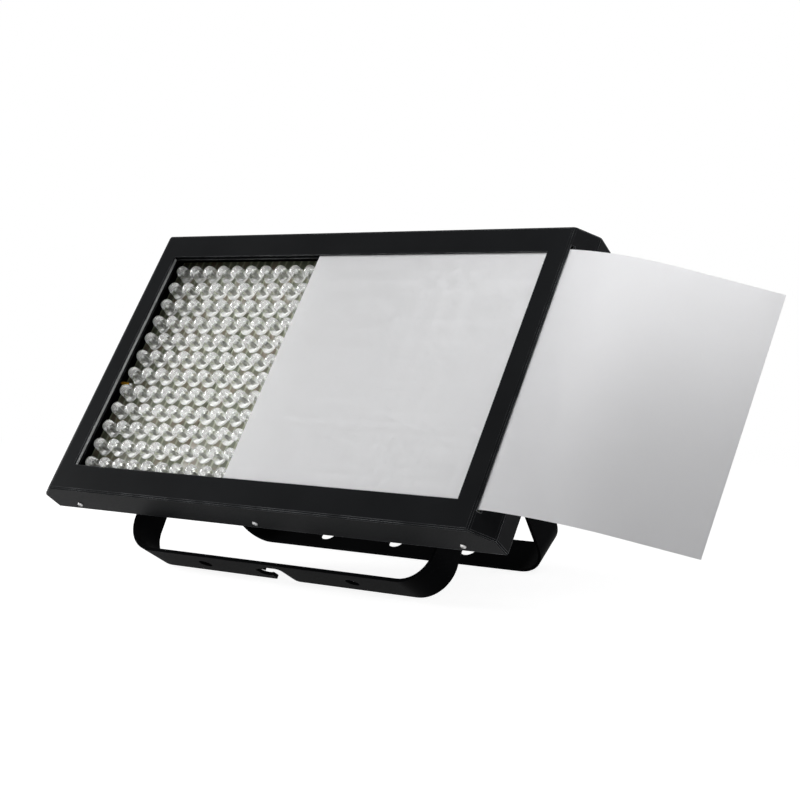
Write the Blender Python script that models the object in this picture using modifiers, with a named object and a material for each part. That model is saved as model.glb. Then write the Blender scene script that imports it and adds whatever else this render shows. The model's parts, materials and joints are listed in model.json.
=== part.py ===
"""LED wash panel with a slide-in diffuser, standing on its two hanging brackets.

Metres, +Z up. The panel is drawn in its own frame (x to its right, y into its depth, z up its face)
and then tilted back about x. The brackets are drawn about the pivot axis that both of them share.
"""
import math

import bmesh
import bpy
from mathutils import Matrix, Vector

# Folded sheet steel casing
FACE_WIDTH = 0.384
FACE_HEIGHT = 0.2437
CASING_DEPTH = 0.031
CHAMFER_WIDTH = 0.0154
CHAMFER_DEPTH = 0.0134
SHEET_STEEL = 0.0012
FOLD_RADIUS = 0.0017
SIDE_BORDER = 0.0154
END_BORDER = 0.02205
PANEL_TILT = math.radians(35.67)

# Clearances
SEAT_GAP = 0.0003
RUNNING_GAP = 0.0004

# Diffuser sheet and what guides it
DIFFUSER_BOTTOM = 0.0164
DIFFUSER_BELOW_TOP = 0.0193
DIFFUSER_THICKNESS = 0.001
DIFFUSER_PLAY = 0.0005
DIFFUSER_TOP_PLAY = 0.0012
DIFFUSER_TRAVEL_IN = 0.150
SLOT_MARGIN_BELOW = 0.0016
SLOT_MARGIN_ABOVE = 0.0034
DROOP_START = 0.008
DROOP_ANGLE_TOP = math.radians(26.3)
DROOP_ANGLE_BOTTOM = math.radians(21.5)
DROOP_BEND_TOP = 0.055
DROOP_BEND_BOTTOM = 0.065
FREE_LENGTH_TOP = 0.1530
FREE_LENGTH_BOTTOM = 0.1478
RAIL_THICKNESS = 0.001
RAIL_FOOT = 0.008
RAIL_OVERLAP = 0.0046
END_STOP_WIDTH = 0.0013
END_STOP_DEPTH = 0.004

# LEDs and their boards
LED_RADIUS = 0.005
LED_LENGTH = 0.0135
LED_TOP_DEPTH = 0.0052
LED_COLUMNS = 24
LED_ROWS = 12
LED_SPACING_ACROSS = 0.01485
LED_SPACING_UP = 0.01665
LED_SIDES = 6
BOARD_COUNT = 4
BOARD_THICKNESS = 0.0016
BOARD_GAP = 0.0006
BOARD_END_MARGIN = 0.0134
BOARD_TO_WALL = 0.01385
BOARD_RAIL_FLANGE = 0.008

# Rear cover
COVER_FLANGE = 0.011
VENT_COUNT = 7
VENT_LENGTH = 0.034
VENT_WIDTH = 0.0034
VENT_SPACING = 0.012
VENT_FROM_CENTRE = 0.174
CABLE_HOLE_WIDTH = 0.05
CABLE_HOLE_HEIGHT = 0.04
CABLE_HOLE_X = -0.088

# Driver box on the back
BOX_HALF_WIDTH = 0.1362
BOX_HEIGHT = 0.110
BOX_DEPTH = 0.0402
BOX_LIP = 0.012
BOX_VENT_COUNT = 7
BOX_VENT_LENGTH = 0.022
BOX_VENT_SPACING = 0.013

# Pivots and brackets
PIVOT_ABOVE_MIDDLE = 0.00315
PIVOT_DEPTH = 0.051
PIVOT_ABOVE_FLOOR = 0.1330
BOLT_RADIUS = 0.004
BOLT_HEAD_RADIUS = 0.0075
BOLT_HEAD_HEIGHT = 0.005
WASHER_RADIUS = 0.010
INNER_WASHER = 0.0012
MIDDLE_WASHER = 0.0038
OUTER_WASHER = 0.0012
STRAP_WIDTH = 0.0310
STRAP_THICKNESS = 0.0026
STRAP_BEND_RADIUS = 0.0255
BEND_STEPS = 9
FRONT_ARM_SPARE = 0.0110
REAR_ARM_SPARE = 0.0175
FRONT_HOLE_RADIUS = 0.0055
REAR_HOLE_RADIUS = 0.0070
CLAMP_HOLE_FROM_CENTRE = 0.069
NOTCH_RIGHT = 0.0084
NOTCH_LEFT = -0.0083
NOTCH_DEPTH = 0.0245
NOTCH_CORNER = 0.0040
NOTCH_FLARE = 0.0035
SEAT_RADIUS = 0.0064
SEAT_MOUTH = 0.0046
SEAT_FROM_MIDDLE = 0.0020
ROUND_SIDES = 16

# Clamp knobs
KNOB_RADIUS = 0.0165
KNOB_LOBES = 6
KNOB_LOBE_HEIGHT = 0.0018
KNOB_LENGTH = 0.012
KNOB_HUB_RADIUS = 0.009
KNOB_HUB_LENGTH = 0.004
KNOB_BORE_DEPTH = 0.011
KNOB_POINTS = 36
KNOB_EDGE = 0.0012

# What stands on the back of the driver box, from its centre
MAINS_FROM_SIDE = 0.0382
DMX_IN_FROM_SIDE = 0.0662
DMX_OUT_FROM_SIDE = 0.0312
DISPLAY_Z = 0.016
DISPLAY_WIDTH = 0.046
DISPLAY_HEIGHT = 0.018
BUTTON_Z = -0.012
BUTTON_SPACING = 0.015
BUTTON_COUNT = 4
BUTTON_RADIUS = 0.0032
BUTTON_PROUD = 0.0016
BUTTON_LENGTH = 0.0060
BUTTON_TRAVEL = 0.0010
SOCKET_FLANGE = 0.002
DMX_WIDTH = 0.026
DMX_HEIGHT = 0.031
DMX_BARREL_RADIUS = 0.0118
DMX_BARREL_LENGTH = 0.020
DMX_MOUTH_RADIUS = 0.0096
DMX_MOUTH_DEPTH = 0.014
DMX_PIN_RADIUS = 0.0012
DMX_PIN_CIRCLE = 0.0042
DMX_INSERT_RADIUS = 0.0080
LATCH_WIDTH = 0.007
LATCH_HEIGHT = 0.0030
LATCH_FROM_CENTRE = 0.0128
LATCH_PROUD = 0.0020
LATCH_TRAVEL = 0.0014
INLET_WIDTH = 0.0276
INLET_HEIGHT = 0.0200
INLET_LENGTH = 0.022
INLET_EARS = 0.050
INLET_FLANGE_HEIGHT = 0.0235
INLET_MOUTH_WIDTH = 0.0246
INLET_MOUTH_HEIGHT = 0.0168
INLET_MOUTH_CORNER = 0.0045
INLET_MOUTH_DEPTH = 0.015
INLET_PIN_SPACING = 0.007
INLET_PIN_OFFSET = 0.0022
PIN_WIDTH = 0.002
PIN_HEIGHT = 0.004
EYE_ROD_RADIUS = 0.002
EYE_SPAN = 0.017
EYE_HEIGHT = 0.015
EYE_BASE_WIDTH = 0.032
EYE_BASE_HEIGHT = 0.012
EYE_X = 0.020
EYE_Z = 0.043

# Boards inside the driver box
CONTROL_BOARD_DEPTH = 0.0585
CONTROL_BOARD_TO_SOCKET = 0.0102
CONTROL_BOARD_HEIGHT = 0.062
SUPPLY_BOARD_DEPTH = 0.0345
SUPPLY_BOARD_WIDTH = 0.104
SUPPLY_BOARD_HEIGHT = 0.076
SUPPLY_BOARD_X = 0.010
PROCESSOR_WIDTH = 0.018
PROCESSOR_THICKNESS = 0.002
TRANSFORMER_WIDTH = 0.032
TRANSFORMER_HEIGHT = 0.036
TRANSFORMER_DEPTH = 0.018
CAPACITOR_RADIUS = 0.008
CAPACITOR_LENGTH = 0.019
CAPACITOR_SPACING = 0.024
CAPACITOR_FROM_CENTRE = 0.034
HEAT_SINK_FROM_CENTRE = 0.040
HEAT_SINK_THICKNESS = 0.004
HEAT_SINK_HEIGHT = 0.056
HEAT_SINK_DEPTH = 0.019
HEAT_SINK_FIN_LENGTH = 0.009
HEAT_SINK_FIN_THICKNESS = 0.0016
HEAT_SINK_FIN_SPACING = 0.011
HEAT_SINK_FIN_COUNT = 6
POST_RADIUS = 0.0025
WIRE_RADIUS = 0.0009

# Route of the supply wire, from the middle of the face: soldered to the front of the left board,
# round its edge and behind it to the cable hole, chosen by hand
WIRE_ROUTE = (
    (-0.1795, 0.0170, -0.01435), (-0.1845, 0.0168, -0.01405), (-0.1885, 0.0182, -0.01325),
    (-0.1905, 0.0210, -0.01205), (-0.1885, 0.0236, -0.01085), (-0.1800, 0.0246, -0.00965),
    (-0.1500, 0.0250, -0.00585), (-0.1200, 0.0252, -0.00185), (-0.0980, 0.0262, 0.00065),
    (-0.0890, 0.0300, 0.00165), (-0.0860, 0.0360, 0.00215), (-0.0858, 0.0430, 0.00215),
)
WIRE_STEP = 0.0052

# Sizes that follow from the ones above
FACE_MIDDLE = FACE_HEIGHT / 2
PIVOT_UP = FACE_MIDDLE + PIVOT_ABOVE_MIDDLE
BOARD_HEIGHT = FACE_HEIGHT - 2 * BOARD_TO_WALL
DIFFUSER_HEIGHT = FACE_HEIGHT - DIFFUSER_BOTTOM - DIFFUSER_BELOW_TOP
BOARD_FRONT = LED_TOP_DEPTH + LED_LENGTH
BOARD_BACK = BOARD_FRONT + BOARD_THICKNESS
COVER_INNER = CASING_DEPTH - SHEET_STEEL
BOX_FRONT = CASING_DEPTH + SEAT_GAP
BOX_BACK = BOX_FRONT + BOX_DEPTH
BOX_BOTTOM = PIVOT_UP - BOX_HEIGHT / 2
BOX_TOP = PIVOT_UP + BOX_HEIGHT / 2
SLOT_X = FACE_WIDTH / 2
RAIL_FRONT = SHEET_STEEL + SEAT_GAP
DIFFUSER_FRONT = SHEET_STEEL + DIFFUSER_PLAY
DIFFUSER_BACK = DIFFUSER_FRONT + DIFFUSER_THICKNESS
DIFFUSER_TOP = DIFFUSER_BOTTOM + DIFFUSER_HEIGHT
END_STOP_X = SIDE_BORDER - FACE_WIDTH / 2 + SEAT_GAP
DIFFUSER_INNER_EDGE = END_STOP_X + SEAT_GAP + DIFFUSER_TRAVEL_IN
FRONT_ARM_LENGTH = PIVOT_ABOVE_FLOOR + FRONT_ARM_SPARE
REAR_ARM_LENGTH = PIVOT_ABOVE_FLOOR + REAR_ARM_SPARE
FRONT_HALF_WIDTH = BOX_HALF_WIDTH + INNER_WASHER + STRAP_THICKNESS + 2 * SEAT_GAP
REAR_HALF_WIDTH = FRONT_HALF_WIDTH + MIDDLE_WASHER + STRAP_THICKNESS + 2 * SEAT_GAP
KNOB_START = REAR_HALF_WIDTH + OUTER_WASHER + 2 * SEAT_GAP
MAINS_X = BOX_HALF_WIDTH - MAINS_FROM_SIDE
DMX_IN_X = DMX_IN_FROM_SIDE - BOX_HALF_WIDTH
DMX_OUT_X = DMX_OUT_FROM_SIDE - BOX_HALF_WIDTH
CONTROL_BOARD_WIDTH = 2 * (-DMX_IN_X - DMX_BARREL_RADIUS - CONTROL_BOARD_TO_SOCKET)

PAINT = ("black powder coat", (0.016, 0.017, 0.019), 0.42, 0.0)
STRAP_PAINT = ("black strap paint", (0.012, 0.013, 0.014), 0.38, 0.0)
FROST = ("frosted diffuser", (0.86, 0.87, 0.89), 0.55, 0.0)
BRIGHT = ("bright aluminium", (0.62, 0.63, 0.64), 0.35, 1.0)
ZINC = ("zinc plated steel", (0.55, 0.56, 0.58), 0.32, 1.0)
LED_BOARD = ("led board", (0.62, 0.66, 0.60), 0.25, 0.0)
GREEN_BOARD = ("circuit board", (0.05, 0.16, 0.07), 0.5, 0.0)
BLACK_PLASTIC = ("black plastic", (0.020, 0.020, 0.022), 0.5, 0.0)
NYLON = ("nylon washer", (0.05, 0.05, 0.055), 0.6, 0.0)
RED_PANE = ("display pane", (0.14, 0.008, 0.010), 0.12, 0.0)
BRASS = ("plated contact", (0.70, 0.58, 0.32), 0.3, 1.0)
WIRE = ("wire insulation", (0.62, 0.30, 0.05), 0.45, 0.0)

for old in list(bpy.data.objects):
    bpy.data.objects.remove(old, do_unlink=True)

PARTS = bpy.data.collections.new("led_wash_panel")
CUTTERS = bpy.data.collections.new("cutters")
bpy.context.scene.collection.children.link(PARTS)
bpy.context.scene.collection.children.link(CUTTERS)


def make_material(spec):
    name, colour, roughness, metallic = spec
    known = bpy.data.materials.get(name)
    if known:
        return known
    material = bpy.data.materials.new(name)
    material.use_nodes = True
    shader = material.node_tree.nodes["Principled BSDF"]
    shader.inputs["Base Color"].default_value = (*colour, 1.0)
    shader.inputs["Roughness"].default_value = roughness
    shader.inputs["Metallic"].default_value = metallic
    material.diffuse_color = (*colour, 1.0)
    return material


def make_empty(name, parent=None):
    empty = bpy.data.objects.new(name, None)
    empty.empty_display_size = 0.03
    PARTS.objects.link(empty)
    empty.parent = parent
    return empty


def make_object(name, mesh, parent, material=None):
    """A part when it has a material, a cutter or a piece to be fused when it has none."""
    obj = bpy.data.objects.new(name, mesh)
    obj.parent = parent
    if material:
        mesh.materials.append(make_material(material))
        mesh.shade_smooth()
        mesh.set_sharp_from_angle(angle=math.radians(32))
        PARTS.objects.link(obj)
    else:
        obj.hide_render = True
        obj.display_type = "WIRE"
        CUTTERS.objects.link(obj)
    return obj


def from_bmesh(name, bm, parent, material=None):
    mesh = bpy.data.meshes.new(name)
    bm.to_mesh(mesh)
    bm.free()
    return make_object(name, mesh, parent, material)


def block(name, low, high, parent, material=None):
    bm = bmesh.new()
    bmesh.ops.create_cube(bm, size=1.0)
    size = Vector(high) - Vector(low)
    bmesh.ops.scale(bm, vec=size, verts=bm.verts)
    bmesh.ops.translate(bm, vec=Vector(low) + size / 2, verts=bm.verts)
    return from_bmesh(name, bm, parent, material)


AXIS_TURN = {
    "X": Matrix(((0, 0, 1), (1, 0, 0), (0, 1, 0))).to_4x4(),
    "Y": Matrix(((1, 0, 0), (0, 0, 1), (0, 1, 0))).to_4x4(),
    "Z": Matrix.Identity(4),
}


def drum(name, radius, axis, start, end, centre, parent, material=None, sides=ROUND_SIDES):
    """A cylinder along an axis from start to end; centre holds its two other coordinates, in order."""
    bm = bmesh.new()
    bmesh.ops.create_cone(bm, cap_ends=True, segments=sides, radius1=radius, radius2=radius, depth=end - start)
    bmesh.ops.translate(bm, vec=(*centre, (start + end) / 2), verts=bm.verts)
    bm.transform(AXIS_TURN[axis])
    bm.normal_update()
    bmesh.ops.recalc_face_normals(bm, faces=bm.faces)
    return from_bmesh(name, bm, parent, material)


def flat_bmesh(outlines, axis, start, end):
    """A flat piece as thick as start to end along the axis, cut to its outlines (the first is the rim)."""
    curve = bpy.data.curves.new("outline", "CURVE")
    curve.dimensions = "2D"
    curve.fill_mode = "BOTH"
    curve.extrude = (end - start) / 2
    for outline in outlines:
        spline = curve.splines.new("POLY")
        spline.points.add(len(outline) - 1)
        for point, (a, b) in zip(spline.points, outline):
            point.co = (a, b, 0.0, 1.0)
        spline.use_cyclic_u = True
    shape = bpy.data.objects.new("outline", curve)
    CUTTERS.objects.link(shape)
    graph = bpy.context.evaluated_depsgraph_get()
    mesh = bpy.data.meshes.new_from_object(shape.evaluated_get(graph))
    bpy.data.objects.remove(shape, do_unlink=True)
    bpy.data.curves.remove(curve)
    bm = bmesh.new()
    bm.from_mesh(mesh)
    bpy.data.meshes.remove(mesh)
    bmesh.ops.remove_doubles(bm, verts=bm.verts, dist=0.00001)
    bmesh.ops.translate(bm, vec=(0, 0, (start + end) / 2), verts=bm.verts)
    bm.transform(AXIS_TURN[axis])
    bm.normal_update()
    bmesh.ops.recalc_face_normals(bm, faces=bm.faces)
    return bm


def flat_piece(name, outlines, axis, start, end, parent, material=None):
    return from_bmesh(name, flat_bmesh(outlines, axis, start, end), parent, material)


def circle(radius, centre=(0.0, 0.0), sides=ROUND_SIDES):
    turns = [2 * math.pi * (i + 0.5) / sides for i in range(sides)]
    return [(centre[0] + radius * math.cos(t), centre[1] + radius * math.sin(t)) for t in turns]


def rectangle(width, height, centre=(0.0, 0.0), corner=0.0, steps=2):
    """A rectangle's outline, with round corners where corner is given."""
    points = []
    for i, (sx, sy) in enumerate(((1, 1), (-1, 1), (-1, -1), (1, -1))):
        cx = centre[0] + sx * (width / 2 - corner)
        cy = centre[1] + sy * (height / 2 - corner)
        turns = [math.pi / 2 * (i + k / steps) for k in range(steps + 1)] if corner else [0.0]
        points += [(cx + corner * math.cos(t), cy + corner * math.sin(t)) for t in turns]
    return points


def arc(centre, radius, first, last, steps):
    turns = [first + (last - first) * k / steps for k in range(steps + 1)]
    return [(centre[0] + radius * math.cos(t), centre[1] + radius * math.sin(t)) for t in turns]


def boolean(target, tool, operation):
    modifier = target.modifiers.new(f"{operation.lower()} {tool.name}", "BOOLEAN")
    modifier.operation = operation
    modifier.object = tool
    modifier.solver = "EXACT"


def cut(target, *tools):
    for tool in tools:
        boolean(target, tool, "DIFFERENCE")


def fuse(target, *tools):
    for tool in tools:
        boolean(target, tool, "UNION")


def repeat(tool, count, offset):
    """Copies of a cutter or a fused piece, at a constant offset."""
    modifier = tool.modifiers.new("repeat", "ARRAY")
    modifier.use_relative_offset = False
    modifier.use_constant_offset = True
    modifier.constant_offset_displace = offset
    modifier.count = count
    modifier.use_merge_vertices = False
    return tool


def folded_shell(name, bm, is_open, parent, material):
    """A casing folded from sheet: the faces that is_open picks are left out, the folds are rounded."""
    gone = [face for face in bm.faces if is_open(face)]
    bmesh.ops.delete(bm, geom=gone, context="FACES")
    obj = from_bmesh(name, bm, parent, material)
    bevel = obj.modifiers.new("folds", "BEVEL")
    bevel.width = FOLD_RADIUS
    bevel.segments = 2
    bevel.limit_method = "ANGLE"
    bevel.angle_limit = math.radians(30)
    thickness = obj.modifiers.new("sheet", "SOLIDIFY")
    thickness.thickness = SHEET_STEEL
    thickness.offset = -1
    thickness.use_even_offset = True
    thickness.use_quality_normals = True
    return obj


def casing_outline(inset, back):
    """The casing's section across, from above, drawn in from the outer surface by inset."""
    slope = math.atan2(CHAMFER_WIDTH, CHAMFER_DEPTH)
    face = FACE_WIDTH / 2 - inset * math.tan((math.pi / 2 - slope) / 2)
    side = FACE_WIDTH / 2 + CHAMFER_WIDTH - inset
    shoulder = CHAMFER_DEPTH + inset * math.tan(slope / 2)
    right = [(face, inset), (side, shoulder), (side, back)]
    return right + [(-x, y) for x, y in reversed(right)]


def build_front_bezel(panel):
    bm = flat_bmesh([casing_outline(0.0, CASING_DEPTH)], "Z", 0.0, FACE_HEIGHT)
    at_back = CASING_DEPTH - 0.0001
    bezel = folded_shell(
        "front_bezel", bm, lambda face: all(v.co.y > at_back for v in face.verts), panel, PAINT)
    window = block(
        "cut_window",
        (SIDE_BORDER - FACE_WIDTH / 2, -SHEET_STEEL, END_BORDER),
        (FACE_WIDTH / 2 - SIDE_BORDER, 2 * SHEET_STEEL, FACE_HEIGHT - END_BORDER), panel)
    slot = block(
        "cut_diffuser_slot",
        (SLOT_X - FOLD_RADIUS, DIFFUSER_FRONT - DIFFUSER_PLAY, DIFFUSER_BOTTOM - SLOT_MARGIN_BELOW),
        (SLOT_X + CHAMFER_WIDTH / 2, DIFFUSER_BACK + DIFFUSER_PLAY, DIFFUSER_TOP + SLOT_MARGIN_ABOVE), panel)
    cut(bezel, window, slot)


def build_rear_cover(panel):
    inset = SHEET_STEEL + SEAT_GAP
    half = FACE_WIDTH / 2 + CHAMFER_WIDTH - inset
    bm = bmesh.new()
    bmesh.ops.create_cube(bm, size=1.0)
    bmesh.ops.scale(bm, vec=(2 * half, COVER_FLANGE, FACE_HEIGHT - 2 * inset), verts=bm.verts)
    bmesh.ops.translate(bm, vec=(0, CASING_DEPTH - COVER_FLANGE / 2, FACE_HEIGHT / 2), verts=bm.verts)
    front = CASING_DEPTH - COVER_FLANGE + 0.0001
    cover = folded_shell(
        "rear_cover", bm, lambda face: all(v.co.y < front for v in face.verts), panel, PAINT)
    first_vent = PIVOT_UP - (VENT_COUNT - 1) * VENT_SPACING / 2
    for side, x in (("left", -VENT_FROM_CENTRE), ("right", VENT_FROM_CENTRE)):
        vent = flat_piece(
            f"cut_vents_{side}", [rectangle(VENT_LENGTH, VENT_WIDTH, (x, first_vent), VENT_WIDTH * 0.49)],
            "Y", COVER_INNER - SHEET_STEEL, CASING_DEPTH + SHEET_STEEL, panel)
        cut(cover, repeat(vent, VENT_COUNT, (0, 0, VENT_SPACING)))
    cable_hole = flat_piece(
        "cut_cable_hole",
        [rectangle(CABLE_HOLE_WIDTH, CABLE_HOLE_HEIGHT, (CABLE_HOLE_X, PIVOT_UP), FOLD_RADIUS)],
        "Y", COVER_INNER - SHEET_STEEL, CASING_DEPTH + SHEET_STEEL, panel)
    cut(cover, cable_hole)


def build_driver_box(panel):
    bm = bmesh.new()
    bmesh.ops.create_cube(bm, size=1.0)
    bmesh.ops.scale(bm, vec=(2 * BOX_HALF_WIDTH, BOX_DEPTH, BOX_HEIGHT), verts=bm.verts)
    bmesh.ops.translate(bm, vec=(0, BOX_FRONT + BOX_DEPTH / 2, PIVOT_UP), verts=bm.verts)
    box = folded_shell(
        "driver_box", bm, lambda face: all(v.co.y < BOX_FRONT + 0.0001 for v in face.verts), panel, PAINT)
    inner = BOX_HALF_WIDTH - FOLD_RADIUS
    for name, wall, out in (("lower", BOX_BOTTOM, -1), ("upper", BOX_TOP, 1)):
        ends = sorted((wall + out * BOX_LIP, wall - out * SHEET_STEEL * 0.6))
        lip = block(
            f"lip_{name}", (-inner, BOX_FRONT, ends[0]), (inner, BOX_FRONT + SHEET_STEEL, ends[1]), panel)
        fuse(box, lip)
    vent_middle = (BOX_FRONT + BOX_BACK) / 2
    vent = flat_piece(
        "cut_box_vents",
        [rectangle(VENT_WIDTH, BOX_VENT_LENGTH,
                   (-(BOX_VENT_COUNT - 1) * BOX_VENT_SPACING / 2, vent_middle), VENT_WIDTH * 0.49)],
        "Z", BOX_BOTTOM - SHEET_STEEL, BOX_TOP + SHEET_STEEL, panel)
    cut(box, repeat(vent, BOX_VENT_COUNT, (BOX_VENT_SPACING, 0, 0)))
    through = (BOX_BACK - 2 * SHEET_STEEL, BOX_BACK + SHEET_STEEL)
    gap = 2 * SEAT_GAP
    cut(box, flat_piece(
        "cut_mains", [rectangle(INLET_WIDTH + gap, INLET_HEIGHT + gap, (MAINS_X, PIVOT_UP))],
        "Y", *through, panel))
    for name, x in (("in", DMX_IN_X), ("out", DMX_OUT_X)):
        cut(box, drum(f"cut_dmx_{name}", DMX_BARREL_RADIUS + gap, "Y", *through, (x, PIVOT_UP), panel))
    cut(box, flat_piece(
        "cut_display",
        [rectangle(DISPLAY_WIDTH + gap, DISPLAY_HEIGHT + gap, (0, PIVOT_UP + DISPLAY_Z), 0.001)],
        "Y", *through, panel))
    button_hole = drum(
        "cut_buttons", BUTTON_RADIUS + RUNNING_GAP, "Y", *through, (button_x(0), PIVOT_UP + BUTTON_Z),
        panel, sides=12)
    cut(box, repeat(button_hole, BUTTON_COUNT, (BUTTON_SPACING, 0, 0)))
    cut(box, drum(
        "cut_pivots", BOLT_RADIUS + RUNNING_GAP, "X", -BOX_HALF_WIDTH - SHEET_STEEL,
        BOX_HALF_WIDTH + SHEET_STEEL, (PIVOT_DEPTH, PIVOT_UP), panel))


def build_rails_and_stop(panel):
    """Two channels behind the face hold the sheet's edges; a strip at the window's left stops it."""
    back = DIFFUSER_BACK + DIFFUSER_PLAY
    left, right = -FACE_WIDTH / 2 + 2 * SHEET_STEEL, SLOT_X - SHEET_STEEL
    floor = DIFFUSER_BOTTOM - SEAT_GAP
    roof = DIFFUSER_TOP + DIFFUSER_TOP_PLAY
    for name, edge, out in (("bottom", floor, -1), ("top", roof, 1)):
        section = [
            (RAIL_FRONT, edge + out * RAIL_FOOT), (RAIL_FRONT, edge),
            (back, edge), (back, edge - out * RAIL_OVERLAP),
            (back + RAIL_THICKNESS, edge - out * RAIL_OVERLAP),
            (back + RAIL_THICKNESS, edge + out * RAIL_THICKNESS),
            (RAIL_FRONT + RAIL_THICKNESS, edge + out * RAIL_THICKNESS),
            (RAIL_FRONT + RAIL_THICKNESS, edge + out * RAIL_FOOT),
        ]
        flat_piece(f"diffuser_rail_{name}", [section], "X", left, right, panel, PAINT)
    block(
        "diffuser_end_stop",
        (END_STOP_X - END_STOP_WIDTH, RAIL_FRONT, floor + RAIL_OVERLAP + SEAT_GAP),
        (END_STOP_X, RAIL_FRONT + END_STOP_DEPTH, roof - RAIL_OVERLAP - SEAT_GAP), panel, BRIGHT)


def droop_point(run, height):
    """Where the free sheet is, right and back, at a run along it from the slot and a share of its height."""
    angle = DROOP_ANGLE_BOTTOM + (DROOP_ANGLE_TOP - DROOP_ANGLE_BOTTOM) * height
    bend = DROOP_BEND_BOTTOM + (DROOP_BEND_TOP - DROOP_BEND_BOTTOM) * height
    radius = bend / angle
    turned = min(max(run - DROOP_START, 0.0), bend) / radius
    straight = max(run - DROOP_START - bend, 0.0)
    right = min(run, DROOP_START) + radius * math.sin(turned) + straight * math.cos(angle)
    back = radius * (1 - math.cos(turned)) + straight * math.sin(angle)
    return right, back


def build_diffuser(diffuser_frame):
    """A flexible sheet: flat in its rails, drooping backwards past the slot, more at its top edge."""
    inside = DIFFUSER_INNER_EDGE - SLOT_X
    shares = [0.0, 0.055, 0.10, 0.15, 0.20, 0.25, 0.30, 0.35, 0.40, 0.45, 0.50, 1.0]
    rows = 4
    bm = bmesh.new()
    bmesh.ops.create_grid(bm, x_segments=len(shares), y_segments=rows, size=0.5)
    for vert in bm.verts:
        column = round((vert.co.x + 0.5) * len(shares))
        height = vert.co.y + 0.5
        free = FREE_LENGTH_BOTTOM + (FREE_LENGTH_TOP - FREE_LENGTH_BOTTOM) * height
        right, back = droop_point(shares[column - 1] * free, height) if column else (inside, 0.0)
        vert.co = (SLOT_X + right, DIFFUSER_FRONT + back, DIFFUSER_BOTTOM + DIFFUSER_HEIGHT * height)
    bmesh.ops.recalc_face_normals(bm, faces=bm.faces)
    if bm.faces[0].normal.y > 0:
        bmesh.ops.reverse_faces(bm, faces=bm.faces)
    sheet = from_bmesh("diffuser_sheet", bm, diffuser_frame, FROST)
    thickness = sheet.modifiers.new("sheet", "SOLIDIFY")
    thickness.thickness = DIFFUSER_THICKNESS
    thickness.offset = -1


def led_mesh(sink):
    """One LED as its tinted body and dome, six-sided, pointing forwards, its foot sunk into the board."""
    dome_start = LED_TOP_DEPTH + LED_RADIUS * 0.72
    foot = BOARD_FRONT + sink
    bm = bmesh.new()
    bmesh.ops.create_cone(
        bm, cap_ends=True, segments=LED_SIDES, radius1=LED_RADIUS, radius2=LED_RADIUS,
        depth=foot - dome_start)
    bmesh.ops.translate(bm, vec=(0, 0, -(foot + dome_start) / 2), verts=bm.verts)
    top = max(bm.faces, key=lambda face: face.calc_center_median().z)
    dome = bmesh.ops.extrude_face_region(bm, geom=[top])
    tip = [item for item in dome["geom"] if isinstance(item, bmesh.types.BMVert)]
    bmesh.ops.delete(bm, geom=[top], context="FACES_ONLY")
    bmesh.ops.scale(bm, vec=(0.5, 0.5, 1), verts=tip)
    bmesh.ops.translate(bm, vec=(0, 0, dome_start - LED_TOP_DEPTH), verts=tip)
    bm.transform(Matrix(((1, 0, 0), (0, 0, -1), (0, 1, 0))).to_4x4())
    bm.normal_update()
    bmesh.ops.recalc_face_normals(bm, faces=bm.faces)
    return bm


def build_led_boards(panel):
    """Each board and its LEDs are one solid, as the LEDs are soldered to it."""
    columns = LED_COLUMNS // BOARD_COUNT
    bottom = FACE_MIDDLE - BOARD_HEIGHT / 2
    first_row = FACE_MIDDLE - (LED_ROWS - 1) * LED_SPACING_UP / 2
    for index in range(BOARD_COUNT):
        first_column = (index * columns - (LED_COLUMNS - 1) / 2) * LED_SPACING_ACROSS
        last_column = first_column + (columns - 1) * LED_SPACING_ACROSS
        inner_margin = (LED_SPACING_ACROSS - BOARD_GAP) / 2
        left = first_column - (BOARD_END_MARGIN if index == 0 else inner_margin)
        right = last_column + (BOARD_END_MARGIN if index == BOARD_COUNT - 1 else inner_margin)
        board = block(
            f"led_board_{index + 1}", (left, BOARD_FRONT, bottom), (right, BOARD_BACK, bottom + BOARD_HEIGHT),
            panel, LED_BOARD)
        bm = led_mesh(BOARD_THICKNESS / 4)
        bmesh.ops.translate(bm, vec=(first_column, 0, first_row), verts=bm.verts)
        leds = from_bmesh(f"leds_{index + 1}", bm, panel)
        repeat(leds, columns, (LED_SPACING_ACROSS, 0, 0))
        repeat(leds, LED_ROWS, (0, 0, LED_SPACING_UP))
        fuse(board, leds)


def build_board_rails(panel):
    """Two Z-section rails stand on the rear cover and carry the boards' upper and lower margins."""
    half = (LED_COLUMNS - 1) / 2 * LED_SPACING_ACROSS + BOARD_END_MARGIN
    front, back = BOARD_BACK + SEAT_GAP, COVER_INNER - SEAT_GAP
    t, flange = SHEET_STEEL, BOARD_RAIL_FLANGE
    for name, out in (("bottom", -1), ("top", 1)):
        edge = FACE_MIDDLE + out * (BOARD_HEIGHT / 2 - t)
        step = -out * (flange - t)
        section = [
            (front, edge), (front, edge + step - out * t), (back - t, edge + step - out * t),
            (back - t, edge + 2 * step), (back, edge + 2 * step), (back, edge + step),
            (front + t, edge + step), (front + t, edge),
        ]
        flat_piece(f"board_rail_{name}", [section], "X", -half, half, panel, ZINC)


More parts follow.
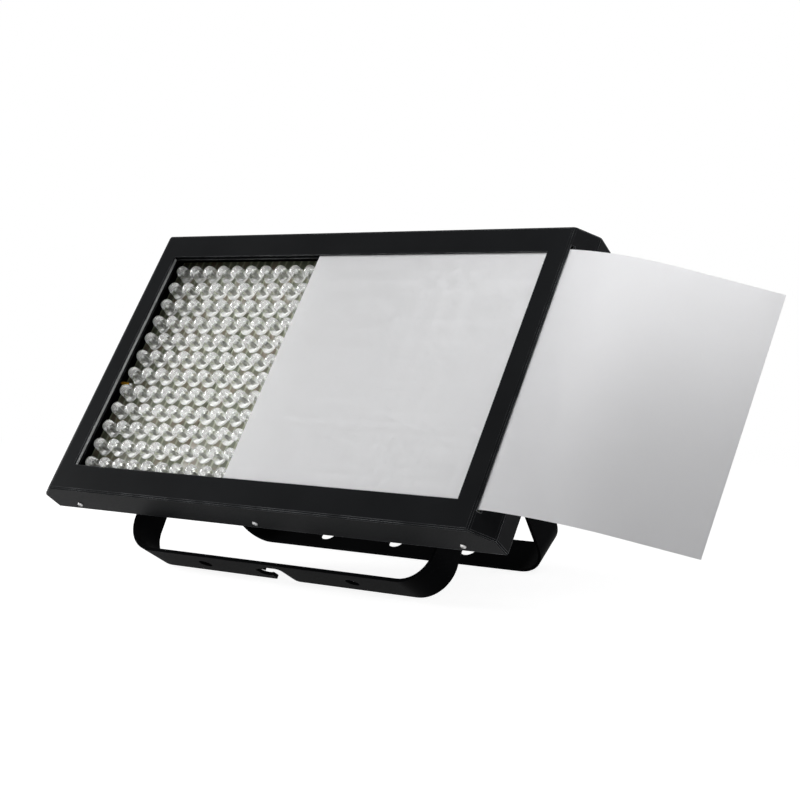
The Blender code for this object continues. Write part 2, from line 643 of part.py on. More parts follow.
def build_mains_inlet(panel):
    flange_front = BOX_BACK + SEAT_GAP
    flange_back = flange_front + SOCKET_FLANGE
    ear = (INLET_EARS - INLET_WIDTH) / 2
    half_width, half_height, ear_height = INLET_EARS / 2, INLET_FLANGE_HEIGHT / 2, INLET_FLANGE_HEIGHT / 4
    right = [(half_width - ear, -half_height), (half_width, -ear_height),
             (half_width, ear_height), (half_width - ear, half_height)]
    outline = [(MAINS_X + x, PIVOT_UP + z) for x, z in right + [(-x, -z) for x, z in right]]
    inlet = flat_piece("mains_inlet", [outline], "Y", flange_front, flange_back, panel, BLACK_PLASTIC)
    inner = flange_front - INLET_LENGTH
    fuse(inlet, block(
        "inlet_body", (MAINS_X - INLET_WIDTH / 2, inner, PIVOT_UP - INLET_HEIGHT / 2),
        (MAINS_X + INLET_WIDTH / 2, flange_front + SOCKET_FLANGE / 2, PIVOT_UP + INLET_HEIGHT / 2), panel))
    w, h, c = INLET_MOUTH_WIDTH / 2, INLET_MOUTH_HEIGHT / 2, INLET_MOUTH_CORNER
    mouth = [(w, -h), (w, h - c), (w - c, h), (c - w, h), (-w, h - c), (-w, -h)]
    floor = flange_back - INLET_MOUTH_DEPTH
    cut(inlet, flat_piece(
        "cut_inlet_mouth", [[(MAINS_X + x, PIVOT_UP + z) for x, z in mouth]],
        "Y", floor, flange_back + SOCKET_FLANGE, panel))
    carrier = block(
        "mains_pins",
        (MAINS_X - w + c, floor + SEAT_GAP, PIVOT_UP - h + SHEET_STEEL),
        (MAINS_X + w - c, floor + SEAT_GAP + SHEET_STEEL, PIVOT_UP + h - SHEET_STEEL), panel, BRASS)
    for index, raised in ((-1, -1), (0, 1), (1, -1)):
        x = MAINS_X + index * INLET_PIN_SPACING
        z = PIVOT_UP + raised * INLET_PIN_OFFSET
        fuse(carrier, block(
            f"mains_pin_{index + 2}", (x - PIN_WIDTH / 2, floor + SHEET_STEEL, z - PIN_HEIGHT / 2),
            (x + PIN_WIDTH / 2, flange_back - SHEET_STEEL, z + PIN_HEIGHT / 2), panel))


def pin_places(x):
    turns = (math.radians(-90), math.radians(30), math.radians(150))
    return [(x + DMX_PIN_CIRCLE * math.cos(t), PIVOT_UP + DMX_PIN_CIRCLE * math.sin(t)) for t in turns]


def socket_shell(name, x, panel):
    flange_front = BOX_BACK + SEAT_GAP
    flange = flat_piece(
        name, [rectangle(DMX_WIDTH, DMX_HEIGHT, (x, PIVOT_UP), 0.003)], "Y", flange_front,
        flange_front + SOCKET_FLANGE, panel, BLACK_PLASTIC)
    fuse(flange, drum(
        f"barrel_{name}", DMX_BARREL_RADIUS, "Y", flange_front - DMX_BARREL_LENGTH,
        flange_front + SOCKET_FLANGE / 2, (x, PIVOT_UP), panel))
    return flange


def build_dmx_in(panel):
    socket = socket_shell("dmx_in_socket", DMX_IN_X, panel)
    face = BOX_BACK + SEAT_GAP + SOCKET_FLANGE
    floor = face - DMX_MOUTH_DEPTH
    centre = (DMX_IN_X, PIVOT_UP)
    cut(socket, drum("cut_dmx_in_mouth", DMX_MOUTH_RADIUS, "Y", floor, face + SOCKET_FLANGE, centre, panel))
    carrier = drum(
        "dmx_in_pins", DMX_INSERT_RADIUS, "Y", floor + SEAT_GAP, floor + SEAT_GAP + SHEET_STEEL, centre,
        panel, BRASS, sides=12)
    for index, place in enumerate(pin_places(DMX_IN_X)):
        fuse(carrier, drum(
            f"dmx_pin_{index + 1}", DMX_PIN_RADIUS, "Y", floor + SHEET_STEEL, face - SHEET_STEEL, place,
            panel, sides=6))


def build_dmx_out(panel):
    socket = socket_shell("dmx_out_socket", DMX_OUT_X, panel)
    face = BOX_BACK + SEAT_GAP + SOCKET_FLANGE
    centre = (DMX_OUT_X, PIVOT_UP)
    groove = flat_piece(
        "cut_dmx_out_groove", [circle(DMX_MOUTH_RADIUS, centre), circle(DMX_INSERT_RADIUS, centre)],
        "Y", face - DMX_MOUTH_DEPTH * 0.8, face + SOCKET_FLANGE, panel)
    cut(socket, groove)
    for index, place in enumerate(pin_places(DMX_OUT_X)):
        cut(socket, drum(
            f"cut_contact_{index + 1}", DMX_PIN_RADIUS * 1.3, "Y", face - DMX_MOUTH_DEPTH * 0.6,
            face + SOCKET_FLANGE, place, panel, sides=6))
    middle = PIVOT_UP + LATCH_FROM_CENTRE
    w, h = LATCH_WIDTH / 2, LATCH_HEIGHT / 2
    latch_back = BOX_BACK + SEAT_GAP * 2
    cut(socket, block(
        "cut_latch", (DMX_OUT_X - w - RUNNING_GAP, latch_back - SEAT_GAP * 3, middle - h - RUNNING_GAP),
        (DMX_OUT_X + w + RUNNING_GAP, face + SOCKET_FLANGE, middle + h + RUNNING_GAP), panel))
    latch_frame = make_empty("dmx_out_latch_axis", panel)
    latch_frame.location = (DMX_OUT_X, face, middle)
    latch = block(
        "dmx_out_latch", (-w, latch_back + LATCH_TRAVEL - face, -h), (w, LATCH_PROUD, h), latch_frame,
        BLACK_PLASTIC)
    bevel = latch.modifiers.new("edges", "BEVEL")
    bevel.width = LATCH_HEIGHT * 0.2
    bevel.segments = 1


def button_x(index):
    return (index - (BUTTON_COUNT - 1) / 2) * BUTTON_SPACING


def build_controls(panel):
    flat_piece(
        "display_window",
        [rectangle(DISPLAY_WIDTH, DISPLAY_HEIGHT, (0, PIVOT_UP + DISPLAY_Z), 0.0008)],
        "Y", BOX_BACK - SHEET_STEEL, BOX_BACK, panel, RED_PANE)
    for index in range(BUTTON_COUNT):
        name = f"menu_button_{index + 1}"
        axis = make_empty(f"{name}_axis", panel)
        axis.location = (button_x(index), BOX_BACK, PIVOT_UP + BUTTON_Z)
        button = drum(
            name, BUTTON_RADIUS, "Y", BUTTON_PROUD - BUTTON_LENGTH, BUTTON_PROUD, (0, 0), axis, BLACK_PLASTIC,
            sides=12)
        bevel = button.modifiers.new("edges", "BEVEL")
        bevel.width = BUTTON_PROUD * 0.3
        bevel.segments = 1
        bevel.limit_method = "ANGLE"
        bevel.angle_limit = math.radians(60)


def build_control_board(panel):
    """The board stands on posts from the box's back wall, with the display and the tact switches."""
    front, back = CONTROL_BOARD_DEPTH, CONTROL_BOARD_DEPTH + BOARD_THICKNESS
    w, h = CONTROL_BOARD_WIDTH / 2, CONTROL_BOARD_HEIGHT / 2
    board = block("control_board", (-w, front, PIVOT_UP - h), (w, back, PIVOT_UP + h), panel, GREEN_BOARD)
    sunk = back - BOARD_THICKNESS / 2
    inner_wall = BOX_BACK - SHEET_STEEL - SEAT_GAP
    display = block(
        "display_module",
        (-DISPLAY_WIDTH / 2, sunk, PIVOT_UP + DISPLAY_Z - DISPLAY_HEIGHT / 2),
        (DISPLAY_WIDTH / 2, inner_wall, PIVOT_UP + DISPLAY_Z + DISPLAY_HEIGHT / 2), panel)
    switch_top = BOX_BACK + BUTTON_PROUD - BUTTON_LENGTH - BUTTON_TRAVEL - SEAT_GAP
    half = BUTTON_RADIUS * 0.94
    switches = block(
        "tact_switches", (button_x(0) - half, sunk, PIVOT_UP + BUTTON_Z - half),
        (button_x(0) + half, switch_top, PIVOT_UP + BUTTON_Z + half), panel)
    repeat(switches, BUTTON_COUNT, (BUTTON_SPACING, 0, 0))
    edge = 2 * POST_RADIUS
    posts = drum(
        "control_posts", POST_RADIUS, "Y", sunk, inner_wall, (edge - w, PIVOT_UP + edge - h), panel, sides=8)
    repeat(posts, 2, (2 * (w - edge), 0, 0))
    repeat(posts, 2, (0, 0, 2 * (h - edge)))
    chip = PROCESSOR_WIDTH / 2
    processor = block(
        "processor", (-chip, front - PROCESSOR_THICKNESS, PIVOT_UP - chip),
        (chip, front + BOARD_THICKNESS / 2, PIVOT_UP + chip), panel)
    fuse(board, display, switches, posts, processor)


def build_power_supply(panel):
    """A supply board on posts from the rear cover, with transformer, capacitors and heat sink."""
    front, back = SUPPLY_BOARD_DEPTH, SUPPLY_BOARD_DEPTH + BOARD_THICKNESS
    x, w, h = SUPPLY_BOARD_X, SUPPLY_BOARD_WIDTH / 2, SUPPLY_BOARD_HEIGHT / 2
    board = block(
        "power_supply", (x - w, front, PIVOT_UP - h), (x + w, back, PIVOT_UP + h), panel, GREEN_BOARD)
    sunk = back - BOARD_THICKNESS / 2
    edge = 2 * POST_RADIUS
    posts = drum(
        "supply_posts", POST_RADIUS, "Y", CASING_DEPTH + SEAT_GAP, front + BOARD_THICKNESS / 2,
        (x + edge - w, PIVOT_UP + edge - h), panel, sides=8)
    repeat(posts, 2, (2 * (w - edge), 0, 0))
    repeat(posts, 2, (0, 0, 2 * (h - edge)))
    half_width, half_height = TRANSFORMER_WIDTH / 2, TRANSFORMER_HEIGHT / 2
    transformer = block(
        "transformer", (x - half_width, sunk, PIVOT_UP - half_height),
        (x + half_width, sunk + TRANSFORMER_DEPTH, PIVOT_UP + half_height), panel)
    capacitors = drum(
        "capacitors", CAPACITOR_RADIUS, "Y", sunk, sunk + CAPACITOR_LENGTH,
        (x + CAPACITOR_FROM_CENTRE, PIVOT_UP - CAPACITOR_SPACING / 2), panel, sides=10)
    repeat(capacitors, 2, (0, 0, CAPACITOR_SPACING))
    plate, top = x - HEAT_SINK_FROM_CENTRE, HEAT_SINK_HEIGHT / 2
    fin = plate + HEAT_SINK_THICKNESS * 0.75
    sink_back = sunk + HEAT_SINK_DEPTH
    sink_plate = block(
        "heat_sink", (plate, sunk, PIVOT_UP - top),
        (plate + HEAT_SINK_THICKNESS, sink_back, PIVOT_UP + top), panel)
    sink_fins = block(
        "heat_sink_fins", (fin, sunk, PIVOT_UP - top),
        (plate + HEAT_SINK_THICKNESS + HEAT_SINK_FIN_LENGTH, sink_back,
         PIVOT_UP - top + HEAT_SINK_FIN_THICKNESS), panel)
    repeat(sink_fins, HEAT_SINK_FIN_COUNT, (0, 0, HEAT_SINK_FIN_SPACING))
    fuse(board, posts, transformer, capacitors, sink_plate, sink_fins)


def tube_mesh(points, radius, resolution):
    """A round rod or wire along points, as one closed mesh."""
    curve = bpy.data.curves.new("rod", "CURVE")
    curve.dimensions = "3D"
    curve.bevel_depth = radius
    curve.bevel_resolution = resolution
    curve.use_fill_caps = True
    spline = curve.splines.new("POLY")
    spline.points.add(len(points) - 1)
    for point, place in zip(spline.points, points):
        point.co = (*place, 1.0)
    rod = bpy.data.objects.new("rod", curve)
    CUTTERS.objects.link(rod)
    graph = bpy.context.evaluated_depsgraph_get()
    mesh = bpy.data.meshes.new_from_object(rod.evaluated_get(graph))
    bpy.data.objects.remove(rod, do_unlink=True)
    bpy.data.curves.remove(curve)
    bm = bmesh.new()
    bm.from_mesh(mesh)
    bpy.data.meshes.remove(mesh)
    bmesh.ops.remove_doubles(bm, verts=bm.verts, dist=0.00001)
    bm.normal_update()
    bmesh.ops.recalc_face_normals(bm, faces=bm.faces)
    return bm


def smooth_route(route, step):
    """Points at an even step along a smooth curve through the route's own points."""
    knots = [Vector(p) for p in route]
    padded = [2 * knots[0] - knots[1]] + knots + [2 * knots[-1] - knots[-2]]
    dense = []
    for a, b, c, d in zip(padded, padded[1:], padded[2:], padded[3:]):
        for k in range(20):
            t = k / 20
            dense.append(0.5 * (2 * b + (c - a) * t + (2 * a - 5 * b + 4 * c - d) * t ** 2
                                + (3 * b - a - 3 * c + d) * t ** 3))
    dense.append(knots[-1])
    points, travelled = [dense[0]], 0.0
    for before, after in zip(dense, dense[1:]):
        travelled += (after - before).length
        if travelled >= step:
            points.append(after)
            travelled = 0.0
    if (points[-1] - dense[-1]).length < step / 2:
        points.pop()
    return points + [dense[-1]]


def build_wire(panel):
    route = [(x, y, FACE_MIDDLE + z) for x, y, z in WIRE_ROUTE]
    from_bmesh("led_wire", tube_mesh(smooth_route(route, WIRE_STEP), WIRE_RADIUS, 2), panel, WIRE)


def build_safety_eye(panel):
    """A welded rod eye for the safety cable, on its base plate."""
    face = BOX_BACK + SEAT_GAP
    z = PIVOT_UP + EYE_Z
    eye = flat_piece(
        "safety_eye", [rectangle(EYE_BASE_WIDTH, EYE_BASE_HEIGHT, (EYE_X, z), 0.002)],
        "Y", face, face + SOCKET_FLANGE, panel, ZINC)
    half, crown = EYE_SPAN / 2, EYE_SPAN / 2
    leg = face + EYE_HEIGHT - crown - EYE_ROD_RADIUS
    arch = arc((EYE_X, leg), half, math.pi, 0.0, 8)
    path = [(EYE_X - half, face + SOCKET_FLANGE / 2)] + arch + [(EYE_X + half, face + SOCKET_FLANGE / 2)]
    fuse(eye, from_bmesh("eye_rod", tube_mesh([(x, y, z) for x, y in path], EYE_ROD_RADIUS, 2), panel))


def build_pivots(panel):
    """Bolt, washers and clamp knob on each side of the driver box, all on one axis."""
    bolt_end = KNOB_START + KNOB_BORE_DEPTH - SHEET_STEEL
    for side, sign in (("left", -1), ("right", 1)):
        def along(first, last):
            return sorted((sign * first, sign * last))

        centre = (PIVOT_DEPTH, PIVOT_UP)
        wall = BOX_HALF_WIDTH - SHEET_STEEL - SEAT_GAP
        bolt = drum(
            f"pivot_bolt_{side}", BOLT_RADIUS, "X", *along(wall - BOLT_HEAD_HEIGHT / 2, bolt_end), centre,
            panel, ZINC)
        fuse(bolt, drum(
            f"bolt_head_{side}", BOLT_HEAD_RADIUS, "X", *along(wall - BOLT_HEAD_HEIGHT, wall), centre, panel,
            sides=6))
        stack = (
            ("inner_washer", BOX_HALF_WIDTH, INNER_WASHER),
            ("middle_washer", FRONT_HALF_WIDTH, MIDDLE_WASHER),
            ("outer_washer", REAR_HALF_WIDTH, OUTER_WASHER))
        for name, base, thickness in stack:
            rings = [circle(WASHER_RADIUS, centre), circle(BOLT_RADIUS + RUNNING_GAP, centre)]
            span = along(base + SEAT_GAP, base + SEAT_GAP + thickness)
            flat_piece(f"{name}_{side}", rings, "X", *span, panel, NYLON)
        build_knob(side, sign, panel)


def build_knob(side, sign, panel):
    axis = make_empty(f"clamp_knob_{side}_axis", panel)
    axis.location = (sign * KNOB_START, PIVOT_DEPTH, PIVOT_UP)
    outline = []
    for k in range(KNOB_POINTS):
        turn = 2 * math.pi * k / KNOB_POINTS
        radius = KNOB_RADIUS + KNOB_LOBE_HEIGHT * math.cos(KNOB_LOBES * turn)
        outline.append((radius * math.cos(turn), radius * math.sin(turn)))
    grip = sorted((sign * KNOB_HUB_LENGTH, sign * (KNOB_HUB_LENGTH + KNOB_LENGTH)))
    knob = flat_piece(f"clamp_knob_{side}", [outline], "X", *grip, axis, BLACK_PLASTIC)
    bevel = knob.modifiers.new("edges", "BEVEL")
    bevel.width = KNOB_EDGE
    bevel.segments = 1
    bevel.limit_method = "ANGLE"
    bevel.angle_limit = math.radians(60)
    hub = sorted((0.0, sign * (KNOB_HUB_LENGTH + KNOB_LENGTH / 2)))
    fuse(knob, drum(f"knob_hub_{side}", KNOB_HUB_RADIUS, "X", *hub, (0, 0), axis))
    bore = sorted((-sign * SHEET_STEEL, sign * KNOB_BORE_DEPTH))
    cut(knob, drum(f"cut_knob_bore_{side}", BOLT_RADIUS + RUNNING_GAP, "X", *bore, (0, 0), axis))


def notch_outline():
    """The entry slot of the hook notch: open and flared at the bar's rear edge, rounded at its far end."""
    edge = STRAP_WIDTH / 2
    front = edge - NOTCH_DEPTH
    outside = edge + NOTCH_FLARE
    points = [(NOTCH_RIGHT + 2 * NOTCH_FLARE, outside)]
    points += arc((NOTCH_RIGHT + NOTCH_FLARE, edge - NOTCH_FLARE), NOTCH_FLARE, math.pi / 2, math.pi, 3)
    points += arc((NOTCH_RIGHT - NOTCH_CORNER, front + NOTCH_CORNER), NOTCH_CORNER, 0, -math.pi / 2, 3)
    points += arc((NOTCH_LEFT + NOTCH_CORNER, front + NOTCH_CORNER), NOTCH_CORNER, -math.pi / 2, -math.pi, 3)
    points += arc((NOTCH_LEFT - NOTCH_FLARE, edge - NOTCH_FLARE), NOTCH_FLARE, 0, math.pi / 2, 3)
    return points + [(NOTCH_LEFT - 2 * NOTCH_FLARE, outside)]


def build_bracket(name, half_width, arm, swing, pivot):
    """A flat strap bent to a U, with rounded arm ends and a pivot hole through both."""
    axis = make_empty(f"{name}_axis", pivot)
    axis.rotation_euler = (swing, 0, 0)
    end = STRAP_WIDTH / 2

    def path(inset):
        radius = STRAP_BEND_RADIUS - inset
        x, z = half_width - STRAP_BEND_RADIUS, STRAP_BEND_RADIUS - arm
        left = arc((-x, z), radius, math.pi, 3 * math.pi / 2, BEND_STEPS)
        right = arc((x, z), radius, 3 * math.pi / 2, 2 * math.pi, BEND_STEPS)
        return [(inset - half_width, end)] + left + right + [(half_width - inset, end)]

    bm = flat_bmesh([path(0.0) + path(STRAP_THICKNESS)[::-1]], "Y", -end, end)
    corners = [
        e for e in bm.edges
        if all(v.co.z > end - 0.0001 for v in e.verts) and abs(e.verts[0].co.y - e.verts[1].co.y) < 0.0001]
    bmesh.ops.bevel(bm, geom=corners, offset=end * 0.99, segments=6, profile=0.5, affect="EDGES")
    bracket = from_bmesh(name, bm, axis, STRAP_PAINT)
    cut(bracket, drum(
        f"cut_{name}_pivot", BOLT_RADIUS + RUNNING_GAP, "X", -half_width - end, half_width + end,
        (0, 0), axis))
    return bracket


def hole_span(arm):
    return -arm - STRAP_THICKNESS, 2 * STRAP_THICKNESS - arm


def cut_front_holes(bracket, arm):
    """Two clamp holes, and the hook notch with its round seat to the left of the entry slot."""
    axis = bracket.parent
    span = hole_span(arm)
    holes = drum("cut_front_holes", FRONT_HOLE_RADIUS, "Z", *span, (-CLAMP_HOLE_FROM_CENTRE, 0), axis)
    cut(bracket, repeat(holes, 2, (2 * CLAMP_HOLE_FROM_CENTRE, 0, 0)))
    slot = flat_piece("cut_notch", [notch_outline()], "Z", *span, axis)
    reach = math.sqrt(SEAT_RADIUS ** 2 - SEAT_MOUTH ** 2)
    seat = drum("cut_notch_seat", SEAT_RADIUS, "Z", *span, (NOTCH_LEFT - reach, SEAT_FROM_MIDDLE), axis)
    cut(bracket, slot, seat)


def cut_rear_holes(bracket, arm):
    """Three equal clamp holes along the bar."""
    holes = drum(
        "cut_rear_holes", REAR_HOLE_RADIUS, "Z", *hole_span(arm), (-CLAMP_HOLE_FROM_CENTRE, 0),
        bracket.parent)
    cut(bracket, repeat(holes, 3, (CLAMP_HOLE_FROM_CENTRE, 0, 0)))


def swing_to_floor(arm):
    """How far a bracket swings from straight down until its bar's lower edge meets the floor."""
    reach = math.hypot(arm, STRAP_WIDTH / 2)
    return math.atan2(STRAP_WIDTH / 2, arm) + math.acos(PIVOT_ABOVE_FLOOR / reach)


def build_brackets(panel):
    pivot = make_empty("pivot_axis", panel)
    pivot.location = (0, PIVOT_DEPTH, PIVOT_UP)
    pivot.rotation_euler = (PANEL_TILT, 0, 0)
    swing = swing_to_floor(FRONT_ARM_LENGTH)
    front = build_bracket("front_bracket", FRONT_HALF_WIDTH, FRONT_ARM_LENGTH, -swing, pivot)
    cut_front_holes(front, FRONT_ARM_LENGTH)
    swing = swing_to_floor(REAR_ARM_LENGTH)
    rear = build_bracket("rear_bracket", REAR_HALF_WIDTH, REAR_ARM_LENGTH, swing, pivot)
    cut_rear_holes(rear, REAR_ARM_LENGTH)


def stand_on_floor(base):
    """Moves the whole object so that the origin is the middle of its box, on the floor."""
    bpy.context.view_layer.update()
    graph = bpy.context.evaluated_depsgraph_get()
    low, high = Vector((9, 9, 9)), Vector((-9, -9, -9))
    for obj in PARTS.objects:
        if obj.type != "MESH":
            continue
        evaluated = obj.evaluated_get(graph)
        for vert in evaluated.data.vertices:
            place = evaluated.matrix_world @ vert.co
            low = Vector(map(min, low, place))
            high = Vector(map(max, high, place))
    base.location = (-(low.x + high.x) / 2, -(low.y + high.y) / 2, -low.z)
    bpy.context.view_layer.update()


def main():
    base = make_empty("base")
    panel = make_empty("panel", base)
    panel.rotation_euler = (-PANEL_TILT, 0, 0)
    build_front_bezel(panel)
    build_rear_cover(panel)
    build_driver_box(panel)
    build_rails_and_stop(panel)
    build_diffuser(make_empty("diffuser_slide", panel))
    build_led_boards(panel)
    build_board_rails(panel)
    build_mains_inlet(panel)
    build_dmx_in(panel)
    build_dmx_out(panel)
    build_controls(panel)
    build_control_board(panel)
    build_power_supply(panel)
    build_wire(panel)
    build_safety_eye(panel)
    build_pivots(panel)
    build_brackets(panel)
    stand_on_floor(base)


main()
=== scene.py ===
import json
import math

import bmesh
import bpy
from mathutils import Matrix, Vector


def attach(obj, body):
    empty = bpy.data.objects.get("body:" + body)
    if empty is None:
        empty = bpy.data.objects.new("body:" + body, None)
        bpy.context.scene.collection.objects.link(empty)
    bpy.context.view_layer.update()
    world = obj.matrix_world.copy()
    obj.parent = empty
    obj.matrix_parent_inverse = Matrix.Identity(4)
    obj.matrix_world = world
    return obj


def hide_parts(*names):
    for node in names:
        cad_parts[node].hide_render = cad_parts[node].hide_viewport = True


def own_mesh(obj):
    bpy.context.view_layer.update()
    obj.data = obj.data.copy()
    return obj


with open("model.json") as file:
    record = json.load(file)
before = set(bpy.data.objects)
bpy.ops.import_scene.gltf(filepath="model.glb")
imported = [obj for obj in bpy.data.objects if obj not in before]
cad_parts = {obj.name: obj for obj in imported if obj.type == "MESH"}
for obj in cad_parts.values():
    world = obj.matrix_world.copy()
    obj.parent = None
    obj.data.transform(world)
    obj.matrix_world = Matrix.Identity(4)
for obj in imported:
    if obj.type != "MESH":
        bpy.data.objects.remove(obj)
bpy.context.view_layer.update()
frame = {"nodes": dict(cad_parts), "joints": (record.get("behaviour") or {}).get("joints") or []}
nodes = frame["nodes"]
print("frame loaded:", len(nodes), "nodes")

# The panel's own frame: x to its right, y into its depth, z up its face, all in metres
panel = {
    "tilt": math.radians(35.67),
    "width": 0.384,
    "height": 0.2437,
    "chamferWidth": 0.0154,
    "pivotDepth": 0.051,
    "pivotUp": 0.125,
}
joints = {joint["name"]: joint for joint in frame["joints"]}
pivot = Vector(joints["front_bracket_hinge"]["pos_m"])
panelFrame = (
    Matrix.Translation(pivot)
    @ Matrix.Rotation(-panel["tilt"], 4, "X")
    @ Matrix.Translation((0, -panel["pivotDepth"], -panel["pivotUp"]))
)

scene = bpy.context.scene
scene.view_settings.view_transform = "Standard"

# Camera, solved from the four corners of the front face
camera = {
    "lens": 71.28,
    "sensor": 36.0,
    "shiftX": -0.5 / 800,
    "clipStart": 0.01,
    "fromCorner": Vector((0.9190, -0.8495, 0.1547)),
    "forward": Vector((-0.56682, 0.82080, -0.07073)),
    "right": Vector((0.82286, 0.56825, 0.0)),
}


def buildCamera():
    eye = bpy.data.objects.new("camera", bpy.data.cameras.new("camera"))
    eye.data.lens = camera["lens"]
    eye.data.sensor_width = camera["sensor"]
    eye.data.shift_x = camera["shiftX"]
    eye.data.clip_start = camera["clipStart"]
    up = camera["right"].cross(camera["forward"]).normalized()
    turn = Matrix((camera["right"], up, -camera["forward"])).transposed().to_4x4()
    corner = panelFrame @ Vector((-panel["width"] / 2, 0, 0))
    eye.matrix_world = Matrix.Translation(corner + camera["fromCorner"]) @ turn
    scene.collection.objects.link(eye)
    scene.camera = eye


buildCamera()


# Materials, all procedural and measured in metres


def newMaterial(name):
    material = bpy.data.materials.new(name)
    material.use_nodes = True
    tree = material.node_tree
    return material, tree, tree.nodes["Principled BSDF"]


# An input is given by its label, or as n and its number
def addNode(tree, kind, settings=None, **inputs):
    node = tree.nodes.new(kind)
    for key, value in (settings or {}).items():
        setattr(node, key, value)
    for key, value in inputs.items():
        socket = node.inputs[int(key[1:])] if key[0] == "n" and key[1:].isdigit() else node.inputs[key]
        if isinstance(value, bpy.types.NodeSocket):
            tree.links.new(value, socket)
        else:
            socket.default_value = value
    return node


def metres(tree):
    return addNode(tree, "ShaderNodeTexCoord").outputs["Object"]


def noise(tree, scale, detail=2.0, rough=0.5):
    settings = {"Scale": scale, "Detail": detail, "Roughness": rough}
    return addNode(tree, "ShaderNodeTexNoise", None, Vector=metres(tree), **settings).outputs["Fac"]


def spread(tree, value, low, high, start=0.3, end=0.7):
    node = addNode(tree, "ShaderNodeMapRange", None, n0=value, n1=start, n2=end, n3=low, n4=high)
    return node.outputs["Result"]


def maths(tree, operation, first, second, clamp=False):
    settings = {"operation": operation, "use_clamp": clamp}
    return addNode(tree, "ShaderNodeMath", settings, n0=first, n1=second).outputs[0]


def blendColours(tree, factor, first, second):
    node = addNode(tree, "ShaderNodeMix", {"data_type": "RGBA"})
    tree.links.new(factor, node.inputs[0])
    for socket, value in ((node.inputs[6], first), (node.inputs[7], second)):
        if isinstance(value, bpy.types.NodeSocket):
            tree.links.new(value, socket)
        else:
            socket.default_value = (*value, 1)
    return node.outputs[2]


def bump(tree, height, strength, distance, normal=None):
    node = addNode(tree, "ShaderNodeBump", None, Height=height, Strength=strength, Distance=distance)
    if normal:
        tree.links.new(normal, node.inputs["Normal"])
    return node.outputs["Normal"]


def mixShaders(tree, share, first, second):
    return addNode(tree, "ShaderNodeMixShader", None, n0=share, n1=first.outputs[0], n2=second.outputs[0])


# Lets part of the lamps' light through a clear or milky surface, which is then the material's surface
def letLightThrough(tree, surface, colour, share):
    clear = addNode(tree, "ShaderNodeBsdfTransparent", None, Color=(*colour, 1))
    path = addNode(tree, "ShaderNodeLightPath")
    mixed = mixShaders(tree, maths(tree, "MULTIPLY", path.outputs["Is Shadow Ray"], share), surface, clear)
    tree.links.new(mixed.outputs[0], tree.nodes["Material Output"].inputs["Surface"])


# A painted highlight along folds and cut edges: a paler colour, laid on in patches, where the bevelled
# normal turns away from the true one
edgeHighlight = {"fold": (0.960, 0.998), "patchScale": 55, "patchBand": (0.4, 0.6), "share": (0.35, 1.0)}


def paintedEdgeHighlight(tree, colour, highlightColour, edge):
    flat = addNode(tree, "ShaderNodeNewGeometry").outputs["True Normal"]
    along = addNode(tree, "ShaderNodeVectorMath", {"operation": "DOT_PRODUCT"}, n0=edge, n1=flat)
    # the mask of the painted edge highlight: strongest where the bevelled normal leaves the true normal
    highlightMask = spread(tree, along.outputs["Value"], 1, 0, *edgeHighlight["fold"])
    uneven = spread(tree, noise(tree, edgeHighlight["patchScale"], 3), *edgeHighlight["share"], *edgeHighlight["patchBand"])
    return blendColours(tree, maths(tree, "MULTIPLY", highlightMask, uneven), colour, highlightColour)


def grainedMaterial(name, finish):
    material, tree, shader = newMaterial(name)
    patches = spread(tree, noise(tree, finish["patchScale"], 4), 0, 1)
    colour = blendColours(tree, patches, finish["dark"], finish["light"])
    grain = noise(tree, finish["grainScale"], 3, 0.6)
    tree.links.new(spread(tree, grain, *finish["roughness"]), shader.inputs["Roughness"])
    edge = None
    if finish.get("edge"):
        edge = addNode(tree, "ShaderNodeBevel", {"samples": 4}, Radius=finish["edge"]).outputs["Normal"]
    # paints a pale highlight along the folds and cut edges
    if finish.get("highlightColour"):
        colour = paintedEdgeHighlight(tree, colour, finish["highlightColour"], edge)
    tree.links.new(colour, shader.inputs["Base Color"])
    height = bump(tree, grain, finish["bump"], finish["grainHeight"], edge)
    tree.links.new(height, shader.inputs["Normal"])
    shader.inputs["Metallic"].default_value = finish.get("metallic", 0.0)
    shader.inputs["Specular IOR Level"].default_value = finish.get("specular", 0.5)
    material.diffuse_color = (*finish["light"], 1)
    return material


